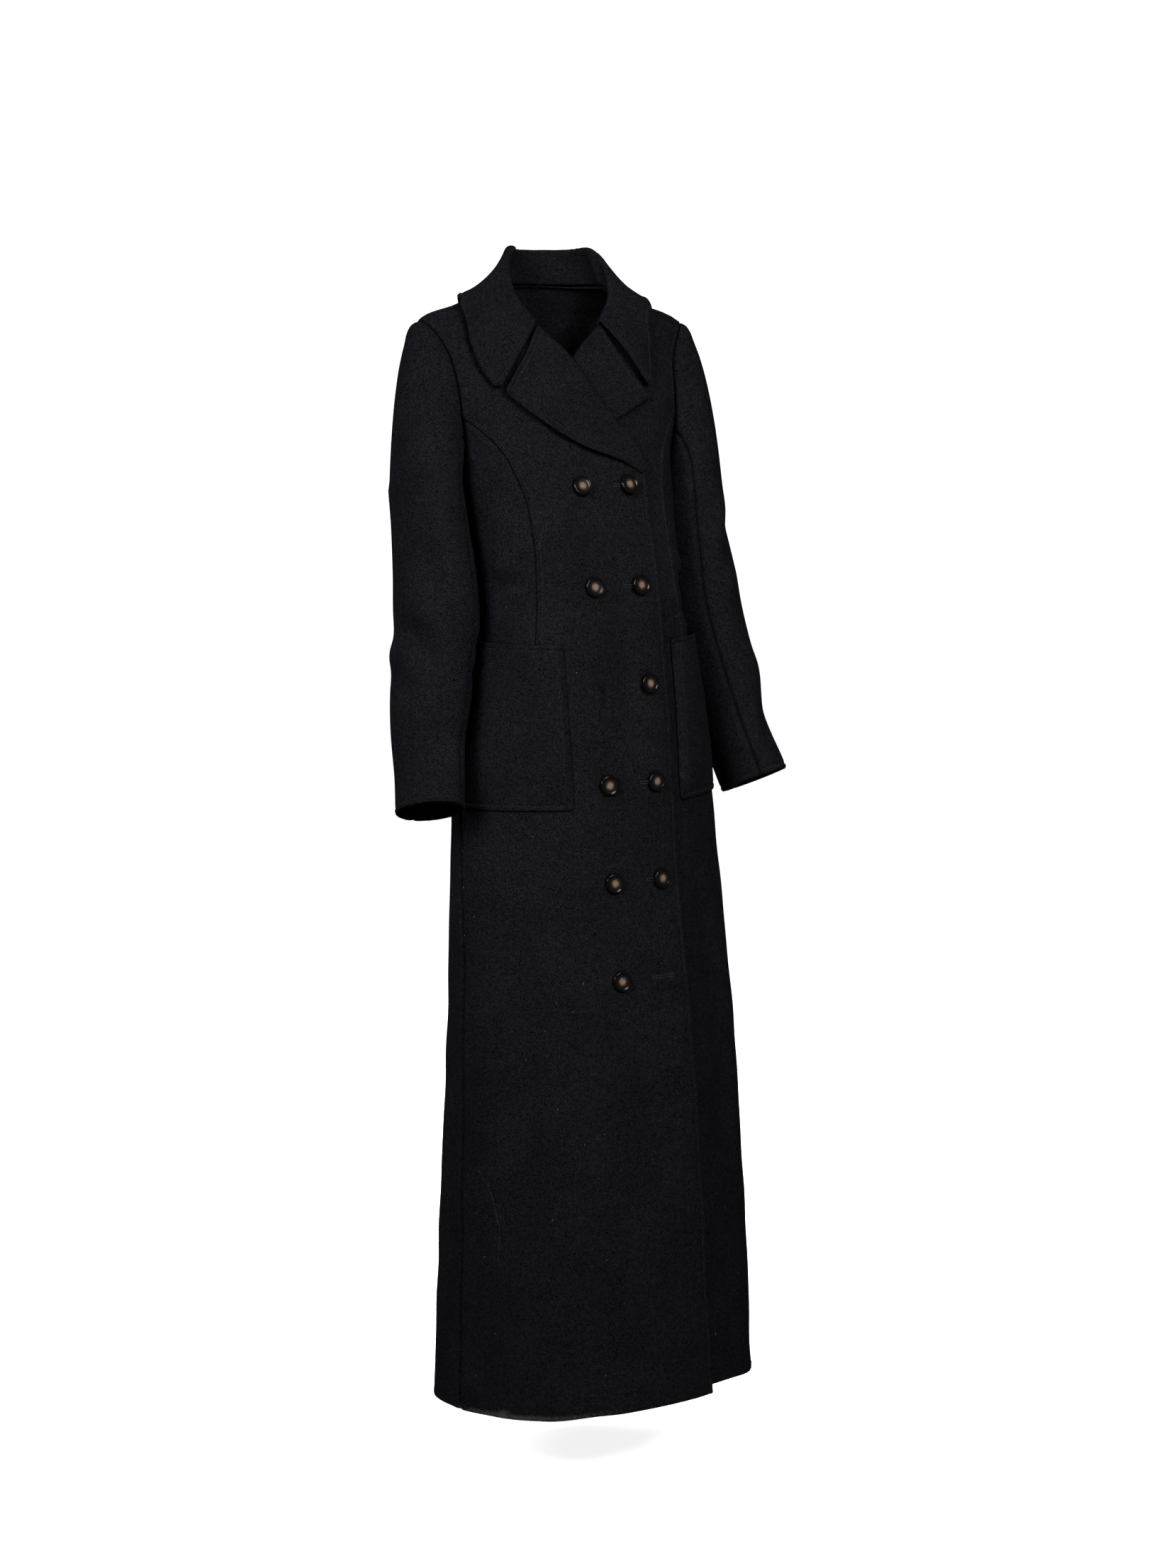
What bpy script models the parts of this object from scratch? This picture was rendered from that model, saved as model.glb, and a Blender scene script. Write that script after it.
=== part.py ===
"""Long double-breasted wool coat in its worn form: hollow cloth walls, in metres, +Z up.

The wearer faces -Y, so the wearer's right side is at -X. The origin lies midway between
the points where the two shoulder seams reach the collar, which is where the coat is carried.

A place on the body of the coat is given by two numbers. "q" runs round a section: 0 at the
centre front, 1 at the centre back. "level" is the distance up the side of the coat from the
hem, over the shoulder and on to the neck. "from_centre" is q again, as metres of cloth from
the centre front towards a panel's own side, so it is negative on the overlap.
"""

import math
from collections import namedtuple

import bmesh
import bpy
import numpy as np
from mathutils import Vector

RIGHT, LEFT = -1, 1
SIDE_NAMES = {RIGHT: "right", LEFT: "left"}

# Cloth
CLOTH = 0.0024
SEAM = 0.0004
LAID_ON = CLOTH + SEAM

# Heights of the main lines
HEM_Z = -1.443
HEM_FRONT_RISE = {RIGHT: 0.020, LEFT: 0.031}
HEM_RISE_SPAN = 0.36
HEM_RISE_FADES_Z = -1.20
STEP_Z = -0.565
UNDERARM_Z = -0.236
SHOULDER_FORWARD = 0.010
SIDE_SEAM_FORWARD = 0.018
SIDE_SEAM_MOVES_Z = (-0.90, -0.60)
SHOULDER_Z = -0.049

# Front closure
OVERLAP = 0.066
OVERLAP_LIFT = 0.0040
LAPEL_LIFT = 0.0058
LIFT_RAMP = (0.108, 0.072)
LAPEL_LIFT_Z = (-0.290, -0.240)
LIFT_ENDS_Z = (-0.095, -0.052)

# Armhole, an oval seen from the side, sampled at equal angles from the shoulder point
ARMHOLE_STEPS = 24
ARMHOLE_PRINCESS_STEP = 7
ARMHOLE_FRONT_GAP = 0.046
ARMHOLE_BACK_GAP = 0.056

# Patch pockets
POCKET_FROM_CENTRE = 0.083
POCKET_WIDTH = 0.152
POCKET_TOP_Z = -0.452
POCKET_BOTTOM_Z = -0.658
POCKET_BULGE = 0.006

# Buttons
BUTTON_RADIUS = 0.013
BUTTON_THICKNESS = 0.0046
BUTTON_DISH = 0.0010
BUTTON_RIM = 0.0026
BUTTON_SIDES = 16
BUTTON_FROM_CENTRE = 0.0345
BUTTON_FIRST_Z = -0.257
BUTTON_PITCH = 0.1242
# Rows that still have their button: in the column over the wearer's right, and over the left.
BUTTON_ROWS = {RIGHT: (0, 1, 3, 4, 5), LEFT: (0, 1, 2, 3, 4)}

# Rows and columns of the panels
SKIRT_ROWS = 12
BODICE_ROWS = 8
PRINCESS_ROWS = ARMHOLE_STEPS // 2 - ARMHOLE_PRINCESS_STEP
SIDE_COLUMNS = 4
FRONT_COLUMNS = 8
SHOULDER_COLUMNS = 5
NECK_COLUMNS = 4
ROLL_ROWS = PRINCESS_ROWS + ARMHOLE_PRINCESS_STEP - NECK_COLUMNS

# Sections of the body from the hem to the neck. The powers square off its front and back.
BodySection = namedtuple("BodySection", "z half_width front_y back_y side_y front_power back_power")
BODY_SECTIONS = (
    (-1.443, 0.2195, -0.289, 0.088, -0.099, 2.0, 2.0),
    (-1.200, 0.2100, -0.260, 0.071, -0.092, 2.0, 2.0),
    (-0.950, 0.2015, -0.228, 0.052, -0.085, 2.0, 2.0),
    (-0.760, 0.1940, -0.199, 0.042, -0.078, 1.9, 2.0),
    (-0.620, 0.1820, -0.184, 0.041, -0.072, 1.9, 2.1),
    (-0.500, 0.1560, -0.167, 0.041, -0.062, 2.3, 2.2),
    (-0.400, 0.1390, -0.151, 0.048, -0.050, 2.7, 2.2),
    (-0.320, 0.1440, -0.133, 0.074, -0.030, 2.6, 2.2),
    (-0.260, 0.1510, -0.115, 0.093, -0.014, 2.5, 2.3),
    (-0.228, 0.1550, -0.103, 0.098, -0.006, 2.5, 2.4),
    (-0.160, 0.1740, -0.074, 0.098, 0.006, 2.6, 2.4),
    (-0.100, 0.1880, -0.046, 0.089, 0.008, 2.5, 2.3),
    (-0.049, 0.1925, -0.030, 0.074, 0.007, 2.3, 2.2),
    (-0.026, 0.1380, -0.022, 0.066, 0.007, 2.1, 2.1),
    (0.000, 0.0750, -0.014, 0.056, 0.007, 2.0, 2.0),
)

# Soft flutes of the skirt, the same on both sides.
Flute = namedtuple("Flute", "q reach depth top_z")
FLUTES = (
    (0.24, 0.045, 0.006, -0.95),
    (0.40, 0.050, -0.006, -0.85),
    (0.56, 0.050, 0.007, -0.80),
    (0.72, 0.055, -0.009, -0.75),
    (0.87, 0.050, 0.010, -0.70),
)

# Seams and edges drawn on the front.
LinePoint = namedtuple("LinePoint", "z from_centre")
PRINCESS_LINE = (
    (-0.565, 0.121),
    (-0.450, 0.115),
    (-0.390, 0.108),
    (-0.315, 0.104),
    (-0.265, 0.107),
    (-0.236, 0.115),
)
ROLL_LINE = {
    RIGHT: ((-0.236, -0.066), (-0.177, -0.032), (-0.131, -0.006), (-0.101, 0.009), (-0.054, 0.047)),
    LEFT: ((-0.236, -0.066), (-0.155, -0.034), (-0.098, -0.003), (-0.054, 0.046)),
}
LAPEL_ROLL = {RIGHT: ((-0.2475, -0.066), *ROLL_LINE[RIGHT]), LEFT: ROLL_LINE[LEFT]}
LAPEL_EDGE = {
    RIGHT: ((-0.2475, -0.066), (-0.231, -0.036), (-0.209, 0.026), (-0.1755, 0.076), (-0.138, 0.110)),
    LEFT: ((-0.236, -0.066), (-0.197, -0.012), (-0.172, 0.044), (-0.146, 0.103)),
}

# How far a lapel's outer edge stands off, and between which shares of its length that begins.
LapelLift = namedtuple("LapelLift", "height start full")
LAPEL_LIFTS = {RIGHT: (0.0065, 0.05, 0.45), LEFT: (0.0045, 0.60, 0.95)}

# Collar, by share of the way from the centre back to the notch: height and inward lean of the
# stand, place of the outer edge and its distance off the body, how far the fall bows out, and
# how far round the body the worn edge sits towards the wearer's right.
CollarStation = namedtuple("CollarStation", "along stand lean edge_q edge_z clear bow askew")
COLLAR_STATIONS = (
    (0.000, 0.041, 0.005, 1.000, -0.043, 0.0045, -0.004, 0.000),
    (0.250, 0.042, 0.012, 0.800, -0.041, 0.0076, -0.016, 0.000),
    (0.500, 0.044, 0.020, 0.490, -0.024, 0.0105, -0.016, 0.000),
    (0.625, 0.038, 0.018, 0.330, -0.044, 0.0125, -0.006, 0.030),
    (0.750, 0.028, 0.013, 0.305, -0.078, 0.0090, 0.000, 0.026),
    (0.875, 0.015, 0.006, 0.289, -0.108, 0.0085, 0.006, 0.022),
    (1.000, 0.004, 0.000, 0.259, -0.137, 0.0085, 0.011, 0.013),
)
NECK_MIDDLE = np.array([0.0, 0.012, 0.0])
COLLAR_ROLL_RADIUS = 0.0036
COLLAR_STAND_START = 0.0022
COLLAR_STAND_POINTS = 4
COLLAR_ROLL_POINTS = 3
COLLAR_FALL_POINTS = 6

# Sleeve sections for the wearer's left arm, from the top of the arm to the cuff.
SleeveSection = namedtuple("SleeveSection", "x y z half_across half_depth")
SLEEVE_SECTIONS = (
    (0.1985, -0.010, -0.255, 0.0415, 0.058),
    (0.1985, -0.026, -0.345, 0.0470, 0.061),
    (0.2020, -0.039, -0.420, 0.0515, 0.063),
    (0.2150, -0.052, -0.490, 0.0490, 0.062),
    (0.2315, -0.072, -0.568, 0.0435, 0.0565),
    (0.2480, -0.105, -0.654, 0.0395, 0.051),
)
SLEEVE_CAP_ROWS = 6
SLEEVE_ARM_ROWS = 11
# Share of the way to the top-of-arm section at which the cap's curve bends, in x, y and z.
CAP_BEND = (0.78, 0.60, 0.10)
# Steps round the armhole, from the shoulder point, where the two sleeve seams start.
FRONT_SLEEVE_SEAM_STEP = 8
BACK_SLEEVE_SEAM_STEP = 18
# Folds of the sleeve, by share of the arm's length and steps round from the top.
SleeveFold = namedtuple("SleeveFold", "along step depth reach steps_across")
SLEEVE_FOLDS = (
    (0.81, 4.0, -0.0075, 0.045, 3.0),
    (0.72, 4.0, 0.0040, 0.050, 3.5),
    (0.45, 19.0, -0.0050, 0.070, 3.0),
)

WOOL = ("wool", (0.0105, 0.0105, 0.0130), 0.92)
HORN = ("horn", (0.030, 0.022, 0.018), 0.28)


def smooth_step(value, start, end):
    """0 before start and 1 after end, with soft ends."""
    t = np.clip((value - start) / (end - start), 0.0, 1.0)
    return t * t * (3.0 - 2.0 * t)


class SmoothTable:
    """A table's columns as smooth curves through its rows, read at a distance along them."""

    def __init__(self, along, columns):
        self.along = np.asarray(along, float)
        self.columns = np.asarray(columns, float)
        self.slopes = np.gradient(self.columns, self.along, axis=0)

    def at(self, distance):
        d = float(np.clip(distance, self.along[0], self.along[-1]))
        i = int(np.clip(np.searchsorted(self.along, d, side="right") - 1, 0, len(self.along) - 2))
        span = self.along[i + 1] - self.along[i]
        t = (d - self.along[i]) / span
        start = self.columns[i] * (1 + 2 * t) * (1 - t) ** 2 + self.columns[i + 1] * t * t * (3 - 2 * t)
        return start + span * (self.slopes[i] * t * (1 - t) ** 2 - self.slopes[i + 1] * t * t * (1 - t))


def body_table():
    """The body's sections against the distance up its side."""
    sections = [BodySection(*row) for row in BODY_SECTIONS]
    z = [section.z for section in sections]
    half_width = [section.half_width for section in sections]
    along = np.concatenate([[0.0], np.cumsum(np.hypot(np.diff(z), np.diff(half_width)))])
    return SmoothTable(along, BODY_SECTIONS)


BODY = body_table()
NECK_LEVEL = float(BODY.along[-1])
RING_ANGLES = np.linspace(0.0, math.pi, 161)


def body_section(level):
    return BodySection(*BODY.at(level))


LEVEL_STEPS = np.linspace(0.0, NECK_LEVEL, 600)
LEVEL_HEIGHTS = np.array([body_section(level).z for level in LEVEL_STEPS])


def level_at(z):
    """The level of a height below the neck."""
    return float(np.interp(z, LEVEL_HEIGHTS, LEVEL_STEPS))


SHOULDER_LEVEL = level_at(SHOULDER_Z)
UNDERARM_LEVEL = level_at(UNDERARM_Z)
RINGS = {}


def ring(level):
    """Half a section: its points' x and y, their distance from the centre front, and its height."""
    key = round(level, 6)
    if key not in RINGS:
        section = body_section(level)
        sine, cosine = np.sin(RING_ANGLES), np.cos(RING_ANGLES)
        front = cosine >= 0
        power = np.where(front, 2 / section.front_power, 2 / section.back_power)
        reach = np.where(front, section.front_y, section.back_y) - section.side_y
        x = section.half_width * np.clip(sine, 0, 1) ** power
        y = section.side_y + reach * np.abs(cosine) ** power
        along = np.concatenate([[0.0], np.cumsum(np.hypot(np.diff(x), np.diff(y)))])
        RINGS[key] = (x, y, along, section.z)
    return RINGS[key]


def half_girth(level):
    return ring(level)[2][-1]


def side_q(level):
    """q of the side line, where a section is widest."""
    along = ring(level)[2]
    return along[len(along) // 2] / along[-1]


def side_seam_q(level):
    """q of the side seam, which leaves the side line forwards down the skirt."""
    forward = SIDE_SEAM_FORWARD * (1 - smooth_step(body_section(level).z, *SIDE_SEAM_MOVES_Z))
    return side_q(level) - forward / half_girth(level)


def q_of(from_centre, level):
    return from_centre / half_girth(level)


def flute_depth(q, z):
    """How far the skirt's soft folds stand out of the plain section."""
    total = 0.0
    for flute in (Flute(*row) for row in FLUTES):
        across = math.exp(-(((abs(q) - flute.q) / flute.reach) ** 2))
        total += flute.depth * across * smooth_step(z, flute.top_z, HEM_Z)
    return total


def plain_point(q, level, side):
    x, y, along, z = ring(level)
    d = abs(q) * along[-1]
    sign = side if q >= 0 else -side
    return np.array([sign * np.interp(d, along, x), np.interp(d, along, y), z])


def body_frame(q, level, side):
    """A point of the body's surface and the direction out of the cloth there."""
    dq, dl = 0.006, 0.003
    low, high = max(level - dl, 0.0), min(level + dl, NECK_LEVEL)
    around = plain_point(q + dq, level, side) - plain_point(q - dq, level, side)
    upward = plain_point(q, high, side) - plain_point(q, low, side)
    normal = np.cross(around, upward) * side
    normal /= np.linalg.norm(normal)
    point = plain_point(q, level, side)
    return point + normal * flute_depth(q, point[2]), normal


def front_lift(q, level, side):
    """How far a front stands off the body: the right one passes over the left one and its lapel."""
    if side == LEFT:
        return 0.0
    from_centre = q * half_girth(level)
    z = body_section(level).z
    over_edge = smooth_step(-from_centre, -LIFT_RAMP[0], -LIFT_RAMP[1])
    below_neck = 1.0 - smooth_step(z, *LIFT_ENDS_Z)
    return over_edge * below_neck * (OVERLAP_LIFT + LAPEL_LIFT * smooth_step(z, *LAPEL_LIFT_Z))


def cloth_grid(places, side, offset=None, lift=None):
    """Points in the middle of a wall and their outward directions, from a grid of (q, level)."""
    rows, columns = places.shape[:2]
    points, normals = np.zeros((rows, columns, 3)), np.zeros((rows, columns, 3))
    for i in range(rows):
        for j in range(columns):
            q, level = places[i, j]
            point, normal = body_frame(q, level, side)
            out = 0.0 if offset is None else offset[i, j]
            out += 0.0 if lift is None else lift(q, level, side)
            points[i, j], normals[i, j] = point + normal * out, normal
    return points, normals


def grid_normals(points, outward_from):
    """Outward directions of a grid of points that bends round a line of inner points."""
    along = np.gradient(points, axis=0)
    across = np.gradient(points, axis=1)
    normals = np.cross(along, across)
    normals /= np.linalg.norm(normals, axis=2, keepdims=True)
    away = points - outward_from
    return normals * np.sign((normals * away).sum(axis=2, keepdims=True))


def material(name, colour, roughness):
    found = bpy.data.materials.get(name)
    if found is None:
        found = bpy.data.materials.new(name)
        found.use_nodes = True
        shader = found.node_tree.nodes["Principled BSDF"]
        shader.inputs["Base Color"].default_value = (*colour, 1.0)
        shader.inputs["Roughness"].default_value = roughness
        shader.inputs["Metallic"].default_value = 0.0
    return found


def add_object(name, mesh, look):
    mesh.materials.append(material(*look))
    mesh.shade_smooth()
    mesh.set_sharp_from_angle(angle=math.radians(50))
    made = bpy.data.objects.new(name, mesh)
    bpy.context.scene.collection.objects.link(made)
    return made


def cloth_wall(name, points, normals, keep=None, thickness=CLOTH):
    """A closed wall of cloth: a grid of middle points, thickened both ways, over the kept cells."""
    rows, columns = points.shape[:2]
    keep = np.ones((rows - 1, columns - 1), bool) if keep is None else keep
    work = bmesh.new()
    sheets = []
    for out in (0.5, -0.5):
        sheets.append([[work.verts.new(p) for p in row] for row in points + normals * thickness * out])
    outer, inner = sheets
    for i, j in zip(*np.nonzero(keep)):
        corners = ((i, j), (i, j + 1), (i + 1, j + 1), (i + 1, j))
        work.faces.new([outer[a][b] for a, b in corners])
        work.faces.new([inner[a][b] for a, b in reversed(corners)])
        neighbours = ((i - 1, j), (i, j + 1), (i + 1, j), (i, j - 1))
        for k, (a, b) in enumerate(neighbours):
            if 0 <= a < rows - 1 and 0 <= b < columns - 1 and keep[a, b]:
                continue
            start, end = corners[k], corners[(k + 1) % 4]
            wall = (outer[end[0]][end[1]], outer[start[0]][start[1]])
            work.faces.new((*wall, inner[start[0]][start[1]], inner[end[0]][end[1]]))
    loose = [v for v in work.verts if not v.link_faces]
    bmesh.ops.delete(work, geom=loose, context="VERTS")
    bmesh.ops.recalc_face_normals(work, faces=work.faces)
    mesh = bpy.data.meshes.new(name)
    work.to_mesh(mesh)
    work.free()
    return add_object(name, mesh, WOOL)


def line_place(line, share):
    """(q, level) at a share of the length of a line given as heights and cloth from the centre."""
    points = [LinePoint(*row) for row in line]
    places = np.array([(level_at(point.z), point.from_centre) for point in points])
    lengths = np.concatenate([[0.0], np.cumsum(np.linalg.norm(np.diff(places, axis=0), axis=1))])
    level, from_centre = SmoothTable(lengths, places).at(share * lengths[-1])
    return np.array([q_of(from_centre, level), level])


def princess_q(level):
    """q of the princess seam below the underarm."""
    points = [LinePoint(*row) for row in PRINCESS_LINE]
    seam = SmoothTable([point.z for point in points], points)
    return q_of(LinePoint(*seam.at(body_section(level).z)).from_centre, level)


def armhole_place(step):
    """(q, level) of a place on the armhole's oval: step 0 at the shoulder, half way at the underarm."""
    angle = 2 * math.pi * step / ARMHOLE_STEPS
    middle, half = (SHOULDER_Z + UNDERARM_Z) / 2, (SHOULDER_Z - UNDERARM_Z) / 2
    level = level_at(middle + half * math.cos(angle))
    gap = (ARMHOLE_FRONT_GAP if math.sin(angle) > 0 else ARMHOLE_BACK_GAP) * math.sin(angle)
    return np.array([side_q(level) - gap / half_girth(level), level])


def princess_top(share):
    """(q, level) on the princess seam from the underarm's height, 0, to the armhole, 1."""
    start = np.array([princess_q(UNDERARM_LEVEL), UNDERARM_LEVEL])
    end = armhole_place(ARMHOLE_PRINCESS_STEP)
    bend = np.array([start[0] + 0.22 * (end[0] - start[0]), start[1] + 0.62 * (end[1] - start[1])])
    return start * (1 - share) ** 2 + bend * 2 * share * (1 - share) + end * share**2


def neck_seam(share, side):
    """(q, level) on the front's collar seam from the notch, 0, to the shoulder seam, 1."""
    start = line_place(ROLL_LINE[side], 1.0)
    return start + (np.array([side_q(NECK_LEVEL), NECK_LEVEL]) - start) * share


def inset(place, amount):
    """The place moved round its section by some cloth."""
    return np.array([place[0] + amount / half_girth(place[1]), place[1]])


def row_levels():
    """Levels of the straight rows from the hem to the underarm."""
    skirt = np.linspace(HEM_Z, STEP_Z, SKIRT_ROWS + 1)
    bodice = np.linspace(STEP_Z, UNDERARM_Z, BODICE_ROWS + 1)[1:]
    return [level_at(z) for z in np.concatenate([skirt, bodice])]


ROW_LEVELS = row_levels()


def hem_level(q, level, side):
    """A row's level at q, raised at the front as it nears the hem."""
    fade = 1.0 - smooth_step(level, 0.0, level_at(HEM_RISE_FADES_Z))
    away = min(1.0, abs(q) * half_girth(level) / HEM_RISE_SPAN)
    return level + HEM_FRONT_RISE[side] * fade * math.cos(math.pi / 2 * away) ** 2


def straight_row(level, breaks, counts, side):
    """A row of places at one level, between the given values of q."""
    q = [np.linspace(a, b, n + 1)[:-1] for a, b, n in zip(breaks, breaks[1:], counts)]
    return [(v, hem_level(v, level, side)) for v in np.concatenate([*q, breaks[-1:]])]


def patch(bottom, left, right, top):
    """A grid of places filled in between four edges (a Coons patch); rows run from bottom to top."""
    bottom, left, right, top = (np.asarray(edge, float) for edge in (bottom, left, right, top))
    u = np.linspace(0, 1, len(bottom))[None, :, None]
    v = np.linspace(0, 1, len(left))[:, None, None]
    ruled_up = bottom[None] * (1 - v) + top[None] * v
    ruled_across = left[:, None] * (1 - u) + right[:, None] * u
    bottom_corners = bottom[0] * (1 - u) + bottom[-1] * u
    top_corners = top[0] * (1 - u) + top[-1] * u
    return ruled_up + ruled_across - bottom_corners * (1 - v) - top_corners * v


def front_places(side):
    """Places of a front: the skirt from side seam to edge, then only what lies inside the princess seam."""
    half = SEAM / 2
    rows = []
    for level in ROW_LEVELS:
        seams = (inset((side_seam_q(level), level), -half)[0], inset((princess_q(level), level), -half)[0])
        breaks = (*seams, q_of(-OVERLAP, level))
        rows.append(straight_row(level, breaks, (SIDE_COLUMNS, FRONT_COLUMNS), side))
    lower = np.array(rows)
    rise = [inset(princess_top(k / PRINCESS_ROWS), -half) for k in range(PRINCESS_ROWS + 1)]
    rise += [inset(armhole_place(k), -half) for k in range(ARMHOLE_PRINCESS_STEP - 1, -1, -1)]
    edge = [line_place(ROLL_LINE[side], k / ROLL_ROWS) for k in range(ROLL_ROWS + 1)]
    edge += [neck_seam(k / NECK_COLUMNS, side) for k in range(1, NECK_COLUMNS + 1)]
    shoulder = [shoulder_place(k / FRONT_COLUMNS, -half) for k in range(FRONT_COLUMNS + 1)]
    upper = patch(lower[-1, SIDE_COLUMNS:], rise, edge, shoulder)
    blank = np.repeat(upper[:, :1], SIDE_COLUMNS, axis=1)
    places = np.concatenate([lower, np.concatenate([blank, upper], axis=1)[1:]])
    keep = np.ones((len(places) - 1, places.shape[1] - 1), bool)
    keep[SKIRT_ROWS:, :SIDE_COLUMNS] = False
    return places, keep


def shoulder_place(share, clear):
    """(q, level) on the shoulder seam from the armhole, 0, to the neck, 1."""
    level = SHOULDER_LEVEL + (NECK_LEVEL - SHOULDER_LEVEL) * share
    return inset((side_q(level), level), clear - SHOULDER_FORWARD * 4 * share * (1 - share))


def side_front_places(side):
    """Places of a side front: from its hidden seam under the pocket up to a point at the armhole."""
    half = SEAM / 2
    rows = []
    for k, level in enumerate(ROW_LEVELS[SKIRT_ROWS:]):
        level += SEAM if k == 0 else 0.0
        seams = (inset((side_seam_q(level), level), -half)[0], inset((princess_q(level), level), half)[0])
        rows.append(straight_row(level, seams, (SIDE_COLUMNS,), side))
    for k in range(1, PRINCESS_ROWS + 1):
        share = (k - 0.12 * (k == PRINCESS_ROWS)) / PRINCESS_ROWS
        start = armhole_place(ARMHOLE_STEPS / 2 - share * PRINCESS_ROWS)
        end = inset(princess_top(share), half)
        rows.append([start + (end - start) * t for t in np.linspace(0, 1, SIDE_COLUMNS + 1)])
    return np.array(rows)


def back_places(side):
    """Places of one half of the back, from the side seam to the centre back seam."""
    half = SEAM / 2
    columns = SHOULDER_COLUMNS + NECK_COLUMNS
    rows = []
    for level in ROW_LEVELS:
        ends = (inset((side_seam_q(level), level), half)[0], inset((1.0, level), -half)[0])
        rows.append(straight_row(level, ends, (columns,), side))
    lower = np.array(rows)
    steps = range(ARMHOLE_STEPS // 2, ARMHOLE_STEPS + 1)
    armhole = [inset(armhole_place(k), half) for k in steps]
    centre = [inset((1.0, level), -half) for level in np.linspace(UNDERARM_LEVEL, NECK_LEVEL, len(steps))]
    shoulder = [shoulder_place(k / SHOULDER_COLUMNS, half) for k in range(SHOULDER_COLUMNS + 1)]
    neck_q = np.linspace(shoulder[-1][0], centre[-1][0], NECK_COLUMNS + 1)
    neck = [np.array([q, NECK_LEVEL]) for q in neck_q]
    upper = patch(lower[-1], armhole, centre, shoulder + neck[1:])
    return np.concatenate([lower, upper[1:]])


def lapel_places(side):
    """Places of a lapel, from the roll line to its outer edge, from the break up to the notch."""
    columns = 6
    rows = []
    for k in range(ROLL_ROWS + 1):
        share = max(k, 0.35) / ROLL_ROWS
        start, end = line_place(LAPEL_ROLL[side], share), line_place(LAPEL_EDGE[side], share)
        rows.append([start + (end - start) * t for t in np.linspace(0, 1, columns + 1)])
    return np.array(rows)


def lapel_offset(shape, side):
    """A lapel rolls softly off the front, and its outer edge stands off."""
    rows, columns = shape
    across = np.linspace(0, 1, columns)[None, :]
    width = np.linspace(0.2, 1, rows)[:, None]
    lift = LapelLift(*LAPEL_LIFTS[side])
    stands = np.array([smooth_step(k / (rows - 1), lift.start, lift.full) for k in range(rows)])[:, None]
    rolled = 0.0016 * width * np.sin(math.pi * np.sqrt(across))
    return LAID_ON + SEAM + rolled + lift.height * stands * across**2


def pocket_places():
    rows, columns = 7, 8
    places = np.zeros((rows + 1, columns + 1, 2))
    for i, z in enumerate(np.linspace(POCKET_BOTTOM_Z, POCKET_TOP_Z, rows + 1)):
        level = level_at(z)
        for j, t in enumerate(np.linspace(0, 1, columns + 1)):
            places[i, j] = q_of(POCKET_FROM_CENTRE + POCKET_WIDTH * t, level), level
    return places


def pocket_offset(shape):
    """A patch pocket is flat at its sewn sides and bottom and stands open towards the top."""
    rows, columns = shape
    across = np.sin(math.pi * np.linspace(0, 1, columns))[None, :]
    up = np.sin(math.pi / 2 * np.minimum(1.0, np.linspace(0, 1, rows) / 0.7))[:, None]
    return LAID_ON + POCKET_BULGE * across * up


def make_body(side):
    """The panels of one side, with what is sewn on them."""
    name = SIDE_NAMES[side]
    places, keep = front_places(side)
    cloth_wall(f"front_{name}", *cloth_grid(places, side, lift=front_lift), keep=keep)
    cloth_wall(f"side_front_{name}", *cloth_grid(side_front_places(side), side, lift=front_lift))
    cloth_wall(f"back_{name}", *cloth_grid(back_places(side), side))
    places = lapel_places(side)
    offset = lapel_offset(places.shape[:2], side)
    cloth_wall(f"lapel_{name}", *cloth_grid(places, side, offset, front_lift))
    places = pocket_places()
    cloth_wall(f"pocket_{name}", *cloth_grid(places, side, pocket_offset(places.shape[:2]), front_lift))


def collar_section(neck, station, edge, edge_normal):
    """Points across the collar: up the stand, over the roll and down the fall to its edge."""
    inward = NECK_MIDDLE - neck
    inward[2] = 0.0
    inward /= np.linalg.norm(inward)
    up = np.array([0.0, 0.0, 1.0])
    crest = neck + up * station.stand + inward * station.lean
    rise = (crest - neck) / np.linalg.norm(crest - neck)
    start = neck + rise * COLLAR_STAND_START
    fall_top = crest - inward * 2 * COLLAR_ROLL_RADIUS
    middle = (fall_top + edge) / 2 + edge_normal * station.bow
    points = [start + (crest - start) * t for t in np.linspace(0, 1, COLLAR_STAND_POINTS)]
    for t in np.linspace(0, math.pi, COLLAR_ROLL_POINTS + 2)[1:-1]:
        turn = -inward * (1 - math.cos(t)) + rise * math.sin(t)
        points.append(crest + COLLAR_ROLL_RADIUS * turn)
    for t in np.linspace(0, 1, COLLAR_FALL_POINTS):
        points.append(fall_top * (1 - t) ** 2 + middle * 2 * t * (1 - t) + edge * t**2)
    return points


def collar_half(side):
    """Sections of one half of the collar, from the centre back to the notch."""
    neck = [np.array([q, NECK_LEVEL]) for q in np.linspace(1.0, side_q(NECK_LEVEL), NECK_COLUMNS + 1)]
    neck += [neck_seam(1 - k / NECK_COLUMNS, side) for k in range(1, NECK_COLUMNS + 1)]
    stations = SmoothTable([CollarStation(*row).along for row in COLLAR_STATIONS], COLLAR_STATIONS)
    sections = []
    for k, place in enumerate(neck):
        station = CollarStation(*stations.at(k / (len(neck) - 1)))
        edge_place = (station.edge_q - side * station.askew, level_at(station.edge_z), side)
        foot, edge_normal = body_frame(*edge_place)
        edge = foot + edge_normal * (station.clear + front_lift(*edge_place))
        sections.append(collar_section(body_frame(*place, side)[0], station, edge, edge_normal))
    return sections


def make_collar():
    right, left = collar_half(RIGHT), collar_half(LEFT)
    points = np.array(right[:0:-1] + left)
    normals = np.cross(np.gradient(points, axis=0), np.gradient(points, axis=1))
    normals /= np.linalg.norm(normals, axis=2, keepdims=True)
    cloth_wall("collar", points, normals)


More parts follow.
